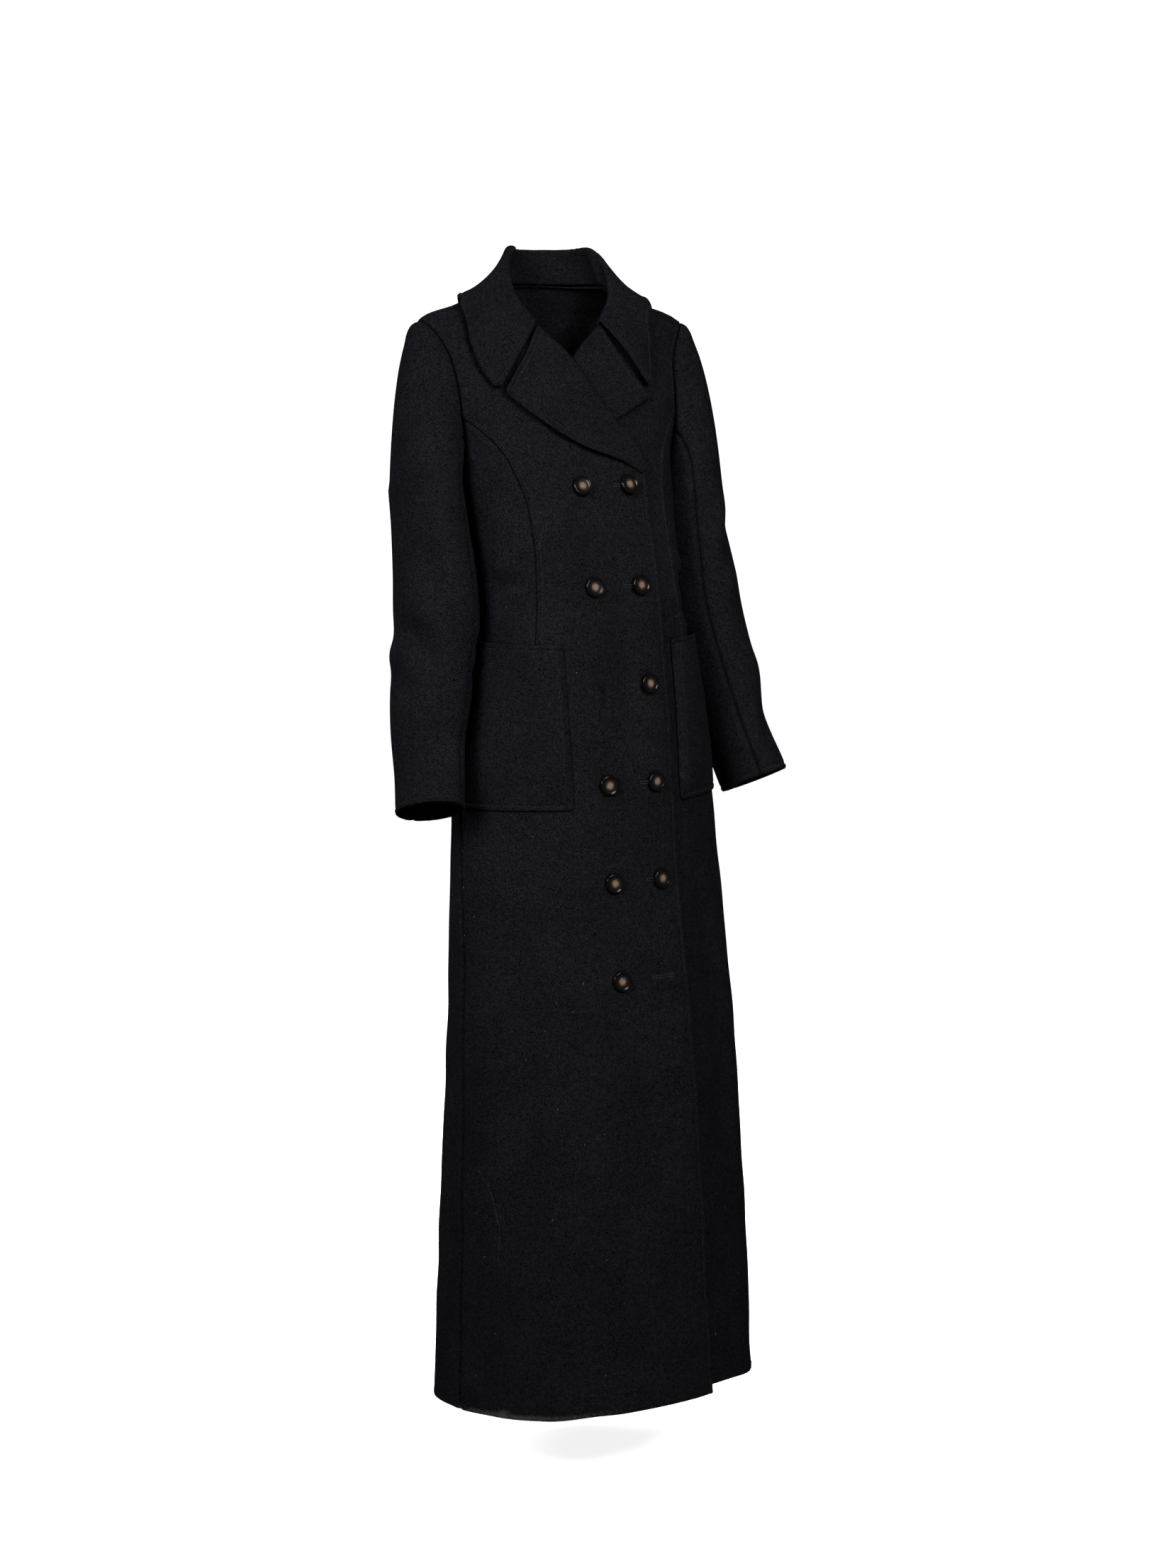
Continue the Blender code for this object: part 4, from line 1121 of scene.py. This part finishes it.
POCKET_ROWS = 32
POCKET_COLUMNS = 22
POCKET_FULL_SHARE = 0.7
POCKET_FLANGE = 0.0050
POCKET_FLANGE_RISES = (0.0, 0.0086)
POCKET_FLANGE_FALLS = (0.020, 0.075)
POCKET_FLANGE_STARTS = (0.0, 0.03)


def make_pocket(side, thread):
    """A patch pocket: sewn at its sides and bottom, and standing open towards the top."""
    name = SIDE_NAMES[side]
    height = POCKET_TOP_Z - POCKET_BOTTOM_Z
    up = close_lines(height, STITCHED_EDGE, STITCHED_EDGE, POCKET_ROWS)[:, None]
    across = close_lines(POCKET_WIDTH, FLANGE_EDGE, STITCHED_EDGE, POCKET_COLUMNS)[None, :]
    levels = level_at(POCKET_BOTTOM_Z + height * up)
    q = q_of(POCKET_FROM_CENTRE + POCKET_WIDTH * across, levels)
    places = np.stack(np.broadcast_arrays(q, levels), axis=-1)
    inner, outer = across * POCKET_WIDTH, (1 - across) * POCKET_WIDTH
    low, high = up * height, (1 - up) * height
    swell = np.sin(math.pi * across) * np.sin(math.pi / 2 * np.minimum(1.0, up / POCKET_FULL_SHARE))
    flange = smooth_step(inner, *POCKET_FLANGE_RISES) * (1 - smooth_step(inner, *POCKET_FLANGE_FALLS))
    stand_off = POCKET_FLANGE * flange * smooth_step(low, *POCKET_FLANGE_STARTS)
    offset = LAID_ON + POCKET_BULGE * swell + stand_off + stitched_relief(inner, FLANGE_STITCH_IN)
    for distance in (outer, low, high):
        offset += stitched_relief(distance)
    points, normals = body_cloth(places, side, offset)
    for last_row in (False, True):
        for last_column in (False, True):
            points = round_corner(points, last_row, last_column, POCKET_CORNER_RADIUS)
    sew(f"pocket_{name}", points, normals)
    a, b = FLANGE_LINE, points.shape[1] - 1 - STITCH_LINE
    c, d = STITCH_LINE, points.shape[0] - 1 - STITCH_LINE
    rows, columns = slice(c, d + 1), slice(a, b + 1)
    thread.follow(points, normals, (rows, a), (rows, b), (c, columns), (d, columns))


COLLAR_SECTIONS = 96
COLLAR_STAND_POINTS, COLLAR_ROLL_POINTS, COLLAR_FALL_POINTS = 12, 9, 40
COLLAR_SHOULDER = 0.5
COLLAR_COLUMNS = 56
COLLAR_ROWS = 190
COLLAR_EASE = 0.0005
COLLAR_EASE_SEED = 12
COLLAR_EASE_FADE = (0.0, 0.02)
COLLAR_STITCHED_END = 0.085


def collar_section(neck, station, edge, edge_normal):
    """Points across the collar: up the stand, over the roll and down the fall to its edge."""
    inward = unit((NECK_MIDDLE - neck) * np.array([1.0, 1.0, 0.0]))
    crest = neck + np.array([0.0, 0.0, station.stand]) + inward * station.lean
    rise = unit(crest - neck)
    start = neck + rise * COLLAR_STAND_START
    fall_top = crest - inward * 2 * COLLAR_ROLL_RADIUS
    middle = (fall_top + edge) / 2 + edge_normal * station.bow
    points = [start + (crest - start) * t for t in np.linspace(0, 1, COLLAR_STAND_POINTS)]
    for t in np.linspace(0, math.pi, COLLAR_ROLL_POINTS + 2)[1:-1]:
        turn = -inward * (1 - math.cos(t)) + rise * math.sin(t)
        points.append(crest + COLLAR_ROLL_RADIUS * turn)
    for t in np.linspace(0, 1, COLLAR_FALL_POINTS):
        points.append(fall_top * (1 - t) ** 2 + middle * 2 * t * (1 - t) + edge * t**2)
    return points


def collar_half(side):
    """Sections of one half of the collar, from the centre back to the notch."""
    stations = SmoothTable([row[0] for row in COLLAR_STATIONS], COLLAR_STATIONS)
    sections = []
    for along in np.linspace(0, 1, COLLAR_SECTIONS + 1):
        station = CollarStation(*stations.at(np.array(along)))
        if along <= COLLAR_SHOULDER:
            place = np.array([1.0 + (side_q(NECK_LEVEL) - 1.0) * along / COLLAR_SHOULDER, NECK_LEVEL])
        else:
            place = neck_seam(1 - (along - COLLAR_SHOULDER) / (1 - COLLAR_SHOULDER), side)
        edge_place = np.array([station.edge_q - side * station.askew, level_at(station.edge_z)])
        foot, edge_normal = body_cloth(edge_place, side)
        neck, _ = body_cloth(place, side, lifted=False)
        sections.append(collar_section(neck, station, foot + edge_normal * station.clear, edge_normal))
    return sections


def make_collar(thread):
    right, left = collar_half(RIGHT), collar_half(LEFT)
    points = np.array(right[:0:-1] + left)
    points = respace(points, 1, OPEN_GRID, STITCHED_EDGE, COLLAR_COLUMNS)
    points = respace(points, 0, STITCHED_EDGE, STITCHED_EDGE, COLLAR_ROWS)
    normals = grid_normals(points)
    to_edge = run_from(points, 1, True)
    to_ends = np.minimum(run_from(points, 0), run_from(points, 0, True))
    offset = stitched_relief(to_edge) + stitched_relief(to_ends)
    swell = ease(to_edge, points[..., 0], COLLAR_EASE_SEED, COLLAR_EASE)
    offset += swell * smooth_step(to_edge, *COLLAR_EASE_FADE)
    points = points + normals * offset[..., None]
    for last_row in (False, True):
        points = round_corner(points, last_row, True, COLLAR_TIP_RADIUS)
    sew("collar", points, normals)
    column, last = points.shape[1] - 1 - STITCH_LINE, points.shape[0] - 1 - STITCH_LINE
    lines = [np.s_[STITCH_LINE : last + 1, column]]
    for row in (STITCH_LINE, last):
        start = int(np.argmax(to_edge[row] < COLLAR_STITCHED_END))
        lines.append(np.s_[row, start : column + 1])
    thread.follow(points, normals, *lines)


def grid_normals(points):
    return unit(np.cross(np.gradient(points, axis=0), np.gradient(points, axis=1)))


# Sleeves

ARM_ROWS = 70
ARM_SLOPE = 0.01
ARM_STEP_WIDTH = 0.0142
ARM_COLUMN = 0.0052
ARM_EASE = 0.0008
ARM_EASE_SEED = 20
CAP_ROWS = 22
CAP_LENGTH = 0.10
HEAD_SWELL = Ridge(0.0024, 0.014, 0.010)
HEAD_LEAST = 0.35
HEAD_STEPS = 5.0


def mirror(side):
    """Factors that take a point of the wearer's left to a side."""
    return np.array([side, 1.0, 1.0])


def sleeve_table():
    table = np.array(SLEEVE_SECTIONS)
    lengths = run_along(table[:, :3])
    return SmoothTable(lengths, table), float(lengths[-1])


def arm_ring(smooth, d, steps):
    """Points across the arm at a distance down it, by steps round from the outside by the front."""
    section = SleeveSection(*smooth.at(np.array(d)))
    tangent = unit(smooth.at(np.array(d + ARM_SLOPE))[:3] - smooth.at(np.array(d - ARM_SLOPE))[:3])
    lateral = unit(np.array([1.0, 0.0, 0.0]) - tangent * tangent[0])
    forward = np.cross(lateral, tangent)
    forward *= -np.sign(forward[1])
    angles = 2 * math.pi * steps / ARMHOLE_STEPS
    points = np.outer(np.cos(angles) * section.half_across, lateral)
    points += np.outer(np.sin(angles) * section.half_depth, forward)
    return points + np.array([section.x, section.y, section.z])


def sleeve_grid(steps, side):
    """Points of the sleeve over these steps, as on the wearer's left, from the armhole to the cuff."""
    smooth, length = sleeve_table()
    down = length * close_lines(length, OPEN_GRID, STITCHED_EDGE, ARM_ROWS)
    rings = np.array([arm_ring(smooth, d, steps) for d in down])
    places = np.array([armhole_place(step) for step in steps % ARMHOLE_STEPS])
    seam, out = body_cloth(places, side)
    seam = (seam + out * LAID_ON) * mirror(side)
    bend = seam + (rings[0] - seam) * CAP_BEND
    cap_shares = close_lines(CAP_LENGTH, PLAIN_SEAM, OPEN_GRID, CAP_ROWS)[:-1]
    cap = [seam * (1 - t) ** 2 + bend * 2 * t * (1 - t) + rings[0] * t * t for t in cap_shares]
    return np.concatenate([np.array(cap), rings]), down, len(cap), length


def steps_from(step, steps):
    """Steps round the arm from one of them, the short way."""
    return (steps - step + ARMHOLE_STEPS / 2) % ARMHOLE_STEPS - ARMHOLE_STEPS / 2


def sleeve_relief(steps, down, length, side):
    """How far the folds of the arm stand out, over its rows and steps."""
    total = np.zeros((len(down), len(steps)))
    for dent in (ArmDent(*row) for row in ARM_DENTS):
        rows = hump(down, dent.along * length, dent.reach)
        columns = hump(steps_from(dent.step, steps), 0.0, dent.steps_across)
        total += dent.depth * np.outer(rows, columns)
    size = np.array([length, ARM_STEP_WIDTH, length, ARM_STEP_WIDTH, 1.0, 1.0, 1.0])
    folds = np.array(ARM_FOLDS[side]) * size
    for lap in (-ARMHOLE_STEPS, 0, ARMHOLE_STEPS):
        total += fold_depth(*np.meshgrid(down, (steps + lap) * ARM_STEP_WIDTH, indexing="ij"), folds)
    x, y = np.meshgrid(down, steps * ARM_STEP_WIDTH, indexing="ij")
    return total + ease(x, y, ARM_EASE_SEED + side, ARM_EASE)


def make_sleeve(side, thread):
    """The upper and the under sleeve, which meet in a front and a back seam."""
    spans = {
        "under": (FRONT_SLEEVE_SEAM_STEP, BACK_SLEEVE_SEAM_STEP),
        "upper": (BACK_SLEEVE_SEAM_STEP, ARMHOLE_STEPS + FRONT_SLEEVE_SEAM_STEP),
    }
    whole = sleeve_grid(np.arange(ARMHOLE_STEPS, dtype=float), side)[0]
    middles = whole.mean(axis=1, keepdims=True)
    for part, (start, end) in spans.items():
        width = (end - start) * ARM_STEP_WIDTH
        lines = close_lines(width, PLAIN_SEAM, PLAIN_SEAM, int(width / ARM_COLUMN))
        steps = start + (end - start) * lines
        points, down, cap_rows, length = sleeve_grid(steps, side)
        normals = grid_normals(points)
        normals *= np.sign((normals * (points - middles)).sum(axis=2, keepdims=True))
        offset = np.zeros(points.shape[:2])
        offset[cap_rows:] += sleeve_relief(steps, down, length, side)
        offset += seam_relief(run_from(points, 1)) + seam_relief(run_from(points, 1, True))
        offset += sleeve_head(run_from(points, 0), steps) + stitched_relief(run_from(points, 0, True))
        points = (pull_in(points, HALF_SEAM) + normals * offset[..., None]) * mirror(side)
        normals = normals * mirror(side)
        name = f"sleeve_{part}_{SIDE_NAMES[side]}"
        sew(name, points, normals)
        thread.follow(points, normals, points.shape[0] - 1 - STITCH_LINE)


def sleeve_head(from_armhole, steps):
    """The head of a set-in sleeve stands a little over the armhole seam, most at the top."""
    top = HEAD_LEAST + (1 - HEAD_LEAST) * hump(steps_from(0, steps), 0.0, HEAD_STEPS)
    return seam_relief(from_armhole) + ridge(from_armhole, *HEAD_SWELL) * top


def pull_in(points, amount):
    """The two side edges of a grid moved inwards to leave the seam open by a hair."""
    moved = points.copy()
    for end, inner in ((0, 1), (-1, -2)):
        moved[:, end] += unit(points[:, inner] - points[:, end]) * amount
    return moved


# Buttons and buttonholes

BUTTON_SIDES = 72
BUTTON_FACE = 0.775

# Rings of a button from its back over the rim to its face, as shares of its radius and thickness
BUTTON_RINGS = (
    (0.62, 0.000),
    (0.80, 0.020),
    (0.93, 0.140),
    (0.985, 0.330),
    (1.000, 0.520),
    (0.990, 0.720),
    (0.960, 0.880),
    (0.915, 0.970),
    (0.870, 1.000),
    (0.825, 0.985),
    (0.785, 0.930),
    (0.745, 0.870),
    (0.690, 0.835),
    (0.560, 0.800),
    (0.400, 0.780),
    (0.200, BUTTON_FACE),
)
HOLE_INNER, HOLE_OUTER = 0.0230, 0.0050
HOLE_EYE_RADIUS = 0.0019
HOLE_EYE_OPENS = 0.45
HOLE_EYE_STITCHES = 16
HOLE_HALF_WIDTH = 0.0008
HOLE_SIDE_STITCHES = 28
HOLE_STITCH = 0.0013
HOLE_THREAD_RADIUS = 0.00030
SLIT_LIFT = 0.00012
CROSSED_ROWS = (0, 2, 4)
CROSS_SHARES = np.linspace(0.12, 0.88, 40)


def front_place(from_centre, z):
    """A point on the outer face of the right front and the direction out of it."""
    level = level_at(z)
    point, normal = body_cloth(np.array([q_of(from_centre, level), level]), RIGHT)
    return point + normal * CLOTH / 2, normal


def button_place(column_side, row):
    from_centre = BUTTON_FROM_CENTRE * (1 if column_side == RIGHT else -1)
    return from_centre, BUTTON_FIRST_Z - BUTTON_PITCH * row


def make_button(column_side, row):
    """A turned button with a rounded rim and a dished face."""
    name = f"button_{SIDE_NAMES[column_side]}_{row + 1}"
    points = [(0.0, 0.0, 0.0), (0.0, 0.0, BUTTON_FACE * BUTTON_THICKNESS)]
    for share, height in BUTTON_RINGS:
        radius, z = share * BUTTON_RADIUS, height * BUTTON_THICKNESS
        points += [(radius * cosine, radius * sine, z) for cosine, sine in circle(BUTTON_SIDES)]
    faces = tube_faces(2, len(BUTTON_RINGS), BUTTON_SIDES)
    last = len(points) - BUTTON_SIDES
    for k in range(BUTTON_SIDES):
        after = (k + 1) % BUTTON_SIDES
        faces += [(0, 2 + after, 2 + k), (1, last + k, last + after)]
    made = add_piece(f"coat_{name}", points, faces, HORN)
    seat, normal = front_place(*button_place(column_side, row))
    made.rotation_mode = "QUATERNION"
    made.rotation_quaternion = Vector(normal).to_track_quat("Z", "Y")
    made.location = seat + normal * SEAM
    bpy.context.view_layer.update()
    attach(made, BODY)
    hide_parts(name)


def hole_outline(row):
    """The edge of a keyhole buttonhole as cloth from the centre and height, with the way out of it."""
    middle, z = button_place(LEFT, row)
    inner, eye = middle + HOLE_INNER, middle - HOLE_OUTER
    side = np.linspace(inner, eye + HOLE_EYE_RADIUS, HOLE_SIDE_STITCHES)
    path = [(c, z + HOLE_HALF_WIDTH, 0.0, 1.0) for c in side]
    for angle in np.linspace(HOLE_EYE_OPENS, 2 * math.pi - HOLE_EYE_OPENS, HOLE_EYE_STITCHES):
        ux, uz = math.cos(angle), math.sin(angle)
        path.append((eye + HOLE_EYE_RADIUS * ux, z + HOLE_EYE_RADIUS * uz, ux, uz))
    return path + [(c, z - HOLE_HALF_WIDTH, 0.0, -1.0) for c in side[::-1]]


def make_buttonholes(thread):
    """Worked keyhole buttonholes along the edge of the right front, one in each row, with a near-black
    sheet over each cut as painted shade.
    """
    points, faces = [], []
    for row in range(BUTTON_COUNT):
        faces.append([])
        for from_centre, z, ux, uz in hole_outline(row):
            start, normal = front_place(from_centre, z)
            end, _ = front_place(from_centre + ux * HOLE_STITCH, z + uz * HOLE_STITCH)
            thread.stitch(start, end, normal, HOLE_THREAD_RADIUS)
            faces[-1].append(len(points))
            points.append(start + normal * SLIT_LIFT)
    # A near-black sheet over each cut, a hair above the cloth: painted shade in the opening
    slit_shade = add_piece("coat_buttonhole_slit_shade", points, faces, DARK_THREAD_AND_SLIT_SHADE)
    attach(slit_shade, BODY)


def make_crosses(thread):
    """Crossed stitching that holds the layers of the front between the buttons."""
    for row in CROSSED_ROWS:
        (right, high), (left, low) = button_place(RIGHT, row), button_place(LEFT, row + 1)
        for start, end in ((right, left), (left, right)):
            found = [front_place(start + (end - start) * t, high + (low - high) * t) for t in CROSS_SHARES]
            points, normals = np.array(found).transpose(1, 0, 2)
            thread.run(points, normals)


# Fibres

FIBRE_GUIDE = np.array([0.31, 0.52, 0.79])
FIBRE_TAPER = 0.35
STRAY_POINTS = 4
FUZZ_RADIUS = 0.00009
HemFibres = namedtuple("HemFibres", "levels lengths rise")
HEM_FUZZ = HemFibres((0.0, 0.003), (0.0010, 0.0028), -0.8)
HEM_FUZZ_COUNT = 2000
HEM_FUZZ_START_Q = {RIGHT: -0.10, LEFT: 0.0}
HEM_LINT = HemFibres((0.0, 0.005), (0.0015, 0.0055), 0.1)
HEM_LINT_PLACE = (0.31, 0.075, 3600)
HEM_CLUMP = HemFibres((0.001, 0.010), (0.0015, 0.0050), 0.2)
HEM_CLUMP_PLACE = (0.352, 0.007, 260)
HEM_DEPTHS = (0.35, 0.60)
HEM_SPREAD = 0.5
HEM_FLATTEN, HEM_LIFT = 0.7, 0.15
HEM_BEND = 0.4
CUFF_FUZZ_COUNT = 420
CUFF_SLOPE = 0.02
CUFF_DEPTHS = (-0.4, 0.4)
CUFF_SPREAD = 0.4
CUFF_LENGTHS = (0.001, 0.0030)
CUFF_BEND = 0.5
LINT_COUNT = 150
LINT_RIGHT_SHARE = 0.62
LINT_HEIGHTS = (-1.42, -0.26)
LINT_QS = (0.12, 0.98)
LINT_LIFT = 0.0001
LINT_LENGTHS = (0.0008, 0.0035)
LINT_BEND, LINT_RISE = 0.7, 0.1
LINT_RADIUS = 0.00013

# Hairs on the right front, as cloth from the centre and heights along each
HAIRS = (
    (
        (0.2409, -1.119), (0.2261, -1.140), (0.2190, -1.178),
        (0.2165, -1.198), (0.2212, -1.230), (0.2170, -1.240),
    ),
    ((0.2587, -1.126), (0.2640, -1.136), (0.2678, -1.146)),
    ((0.2600, -1.106), (0.2680, -1.113), (0.2740, -1.121)),
)
HAIR_LIFT = 0.0003
HAIR_RADIUS = 0.00006
HAIR_TAPER = 0.7
HAIR_POINTS = 8

# Cut threads of the lost button
LOST_BUTTON_ROW = 2
CutThread = namedtuple("CutThread", "length swing lean radius")
CUT_THREADS = ((0.040, -0.0034, 0.003, 0.00085), (0.026, -0.0024, -0.001, 0.00070))
CUT_POINTS = 22
CUT_WAVE, CUT_WAVE_START = 5.2, 0.5
CUT_SWING_START = 0.4
CUT_LIFT = 0.0010
CUT_TAPER = 0.7
STUB_COUNT = 9
STUB_LENGTHS = (0.003, 0.006)
STUB_RISE = 0.4
STUB_BEND = 0.3
STUB_RADIUS = 0.00060


class Fibres(Strands):
    """Tapered fibres with closed ends."""

    def add(self, path, radius, taper=FIBRE_TAPER):
        path = np.asarray(path)
        along = unit(np.gradient(path, axis=0))
        aside = unit(np.cross(along, FIBRE_GUIDE))
        first = len(self.points)
        self.tube(path, np.linspace(1.0, taper, len(path)) * radius, aside, np.cross(along, aside))
        last = len(self.points) - self.SIDES
        self.faces.append(tuple(first + k for k in range(self.SIDES)))
        self.faces.append(tuple(last + k for k in reversed(range(self.SIDES))))


def stray(start, direction, normal, length, bend):
    """A short curved path from a point on the cloth."""
    aside = unit(np.cross(direction, normal))
    turn = RANDOM.normal(0, bend, 2)
    t = np.linspace(0, 1, STRAY_POINTS)[:, None]
    return start + direction * length * t + (aside * turn[0] + normal * turn[1]) * length * t * t


def add_hem_fibres(fibres, places, side, kind):
    """Fibres on the face of the cloth by the hem, which lean up or down."""
    for q in places:
        level, length = RANDOM.uniform(*kind.levels), RANDOM.uniform(*kind.lengths)
        point, normal = body_cloth(np.array([q, hem_level(q, level, side)]), side)
        start = point + normal * RANDOM.uniform(*HEM_DEPTHS) * CLOTH
        spread = RANDOM.normal(0, HEM_SPREAD, 3)
        flat = spread - normal * (spread @ normal) * HEM_FLATTEN
        way = unit(np.array([0, 0, kind.rise]) + flat + normal * HEM_LIFT)
        fibres.add(stray(start, way, normal, length, HEM_BEND), FUZZ_RADIUS)


def make_hem_fuzz():
    """Loose fibres along the raw hem, and pale lint caught on the wearer's right front there."""
    dark, lint = Fibres(), Fibres()
    for side in (RIGHT, LEFT):
        places = RANDOM.uniform(HEM_FUZZ_START_Q[side], 1.0, HEM_FUZZ_COUNT)
        add_hem_fibres(dark, places, side, HEM_FUZZ)
    add_hem_fibres(lint, RANDOM.normal(*HEM_LINT_PLACE), RIGHT, HEM_LINT)
    add_hem_fibres(lint, RANDOM.normal(*HEM_CLUMP_PLACE), RIGHT, HEM_CLUMP)
    dark.make("coat_hem_fuzz", DARK_FIBRE)
    lint.make("coat_hem_lint", HAIR)


def make_cuff_fuzz():
    """Loose fibres along the raw edges of the cuffs."""
    fibres = Fibres()
    smooth, length = sleeve_table()
    for side in (RIGHT, LEFT):
        steps = RANDOM.uniform(0, ARMHOLE_STEPS, CUFF_FUZZ_COUNT)
        ring, inner = arm_ring(smooth, length, steps), arm_ring(smooth, length - CUFF_SLOPE, steps)
        middle = ring.mean(axis=0)
        for point, above in zip(ring, inner):
            down, normal = unit(point - above), unit(point - middle)
            start = (point + normal * RANDOM.uniform(*CUFF_DEPTHS) * CLOTH) * mirror(side)
            way = unit(down + RANDOM.normal(0, CUFF_SPREAD, 3)) * mirror(side)
            path = stray(start, way, normal * mirror(side), RANDOM.uniform(*CUFF_LENGTHS), CUFF_BEND)
            fibres.add(path, FUZZ_RADIUS)
    fibres.make("coat_cuff_fuzz", DARK_FIBRE)


def make_lint():
    """Specks of lint and a few hairs caught on the cloth."""
    fibres, hairs = Fibres(), Fibres()
    for _ in range(LINT_COUNT):
        side = RIGHT if RANDOM.uniform() < LINT_RIGHT_SHARE else LEFT
        level = level_at(RANDOM.uniform(*LINT_HEIGHTS))
        q = RANDOM.uniform(*LINT_QS)
        point, normal = body_cloth(np.array([q, level]), side)
        way = unit(np.cross(normal, RANDOM.normal(0, 1, 3)))
        start = point + normal * (CLOTH / 2 + LINT_LIFT)
        path = stray(start, way, normal * LINT_RISE, RANDOM.uniform(*LINT_LENGTHS), LINT_BEND)
        fibres.add(path, LINT_RADIUS)
    for hair in HAIRS:
        along = np.linspace(0, len(hair) - 1, HAIR_POINTS * len(hair))
        places = SmoothTable(np.arange(len(hair)), hair).at(along)
        found = [front_place(*place) for place in places]
        hairs.add([point + normal * HAIR_LIFT for point, normal in found], HAIR_RADIUS, HAIR_TAPER)
    fibres.make("coat_lint", PALE_FIBRE)
    hairs.make("coat_hairs", HAIR)


def make_lost_button_thread():
    """Cut threads where the third button of the right column is lost."""
    fibres = Fibres()
    from_centre, z = button_place(RIGHT, LOST_BUTTON_ROW)
    for cut in (CutThread(*row) for row in CUT_THREADS):
        path = []
        for t in np.linspace(0, 1, CUT_POINTS):
            swing = math.sin(t * CUT_WAVE + CUT_WAVE_START) * cut.swing * (CUT_SWING_START + t)
            point, normal = front_place(from_centre + (swing + cut.lean * t), z - cut.length * t)
            path.append(point + normal * (cut.radius + CUT_LIFT * math.sin(math.pi * t)))
        fibres.add(path, cut.radius, CUT_TAPER)
    seat, normal = front_place(from_centre, z)
    down = np.array([0.0, 0.0, -1.0])
    aside = np.cross(down, normal)
    for angle in RANDOM.uniform(0, 2 * math.pi, STUB_COUNT):
        way = unit(aside * math.cos(angle) + down * math.sin(angle) + normal * STUB_RISE)
        fibres.add(stray(seat, way, normal, RANDOM.uniform(*STUB_LENGTHS), STUB_BEND), STUB_RADIUS)
    fibres.make("coat_lost_button_thread", DARK_THREAD_AND_SLIT_SHADE)


# Camera, light and stage

CAMERA_TURN = math.radians(32.0)
CAMERA_PITCH = math.radians(8.8)
CAMERA_DISTANCE = 3.73
CAMERA_ASIDE = 0.043
CAMERA_Z = -0.077
CAMERA_SENSOR = 36
CAMERA_LENS = 4000 / 2212 * CAMERA_SENSOR
ROOM_LIGHT = 0.15
LIGHT_SPREAD = math.radians(100)
Light = namedtuple("Light", "name place target size power")
LIGHTS = (
    ("left_key", (-2.45, -1.45, 0.95), (0.0, -0.12, -0.45), 1.1, 34),
    ("front_key", (0.10, -2.75, 1.10), (0.0, -0.15, -0.45), 1.1, 33),
    ("back_left", (2.0, 2.5, 1.0), (0.0, 0.0, -0.6), 1.4, 80),
    ("back_right", (-1.6, 2.9, 1.0), (0.0, 0.0, -0.6), 1.4, 22),
)
FLOOR_Z = -1.535
FLOOR_GLOW = 0.85
BACKDROP_GLOW = 1.05
BACKDROP_SIDES = 64
BACKDROP_REACH = 11.0
BACKDROP_TOP = 12.0


def make_camera():
    ahead = Vector((math.sin(CAMERA_TURN), math.cos(CAMERA_TURN), 0.0))
    aside = Vector((math.cos(CAMERA_TURN), -math.sin(CAMERA_TURN), 0.0))
    data = bpy.data.cameras.new("camera")
    data.sensor_width = CAMERA_SENSOR
    data.lens = CAMERA_LENS
    made = add_object("camera", data)
    made.location = aside * CAMERA_ASIDE - ahead * CAMERA_DISTANCE + Vector((0, 0, CAMERA_Z))
    aim = ahead * math.cos(CAMERA_PITCH) - Vector((0, 0, math.sin(CAMERA_PITCH)))
    made.rotation_euler = aim.to_track_quat("-Z", "Y").to_euler()
    bpy.context.scene.camera = made


def make_studio():
    for light in (Light(*row) for row in LIGHTS):
        data = bpy.data.lights.new(light.name, "AREA")
        data.shape = "DISK"
        data.size = light.size
        data.energy = light.power
        data.spread = LIGHT_SPREAD
        made = add_object(light.name, data)
        made.location = light.place
        aim = Vector(light.target) - Vector(light.place)
        made.rotation_euler = aim.to_track_quat("-Z", "Y").to_euler()
    world = bpy.data.worlds.new("studio")
    world.use_nodes = True
    sky = world.node_tree.nodes["Background"]
    sky.inputs["Color"].default_value = WHITE
    sky.inputs["Strength"].default_value = ROOM_LIGHT
    bpy.context.scene.world = world
    bpy.context.scene.view_settings.view_transform = "Standard"


def add_stage(name, points, faces, glow):
    """A plain pale surface of the studio, which sheds no light on the coat."""
    look = Look(name)
    tone = look.greys(look.noise(scale=3.0, detail=2.0), ((0.3, 0.975), (0.7, 0.99)))
    inputs = {"Base Color": tone, "Roughness": 0.9, "Emission Color": WHITE, "Emission Strength": glow}
    made = add_mesh(name, points, faces, look.finish(inputs))
    made.visible_diffuse = False
    made.visible_glossy = False
    made.visible_shadow = False


def make_stage():
    """A pale floor inside a pale round backdrop."""
    count = BACKDROP_SIDES
    ring = [(BACKDROP_REACH * cosine, BACKDROP_REACH * sine) for cosine, sine in circle(count)]
    low, high = [(x, y, FLOOR_Z) for x, y in ring], [(x, y, BACKDROP_TOP) for x, y in ring]
    add_stage("floor", low, [tuple(range(count))], FLOOR_GLOW)
    walls = tube_faces(0, 2, count)
    add_stage("backdrop", low + high, walls + [tuple(range(count, 2 * count))], BACKDROP_GLOW)


def make_coat():
    body_thread = {side: Thread() for side in (RIGHT, LEFT)}
    for side in (RIGHT, LEFT):
        make_back(side)
    collar_thread = Thread()
    make_collar(collar_thread)
    collar_thread.make("coat_stitching_collar", THREAD)
    for side in (RIGHT, LEFT):
        make_front(side, body_thread[side])
        make_side_front(side)
        make_lapel(side, body_thread[side])
        make_pocket(side, body_thread[side])
        make_sleeve(side, body_thread[side])
    make_crosses(body_thread[RIGHT])
    for side, thread in body_thread.items():
        thread.make(f"coat_stitching_{SIDE_NAMES[side]}", THREAD)
    hole_thread = Thread()
    make_buttonholes(hole_thread)
    hole_thread.make("coat_buttonholes", LIGHT_THREAD)
    for column_side, rows in BUTTON_ROWS.items():
        for row in rows:
            make_button(column_side, row)
    make_hem_fuzz()
    make_cuff_fuzz()
    make_lint()
    make_lost_button_thread()


make_camera()
make_studio()
make_stage()
make_coat()
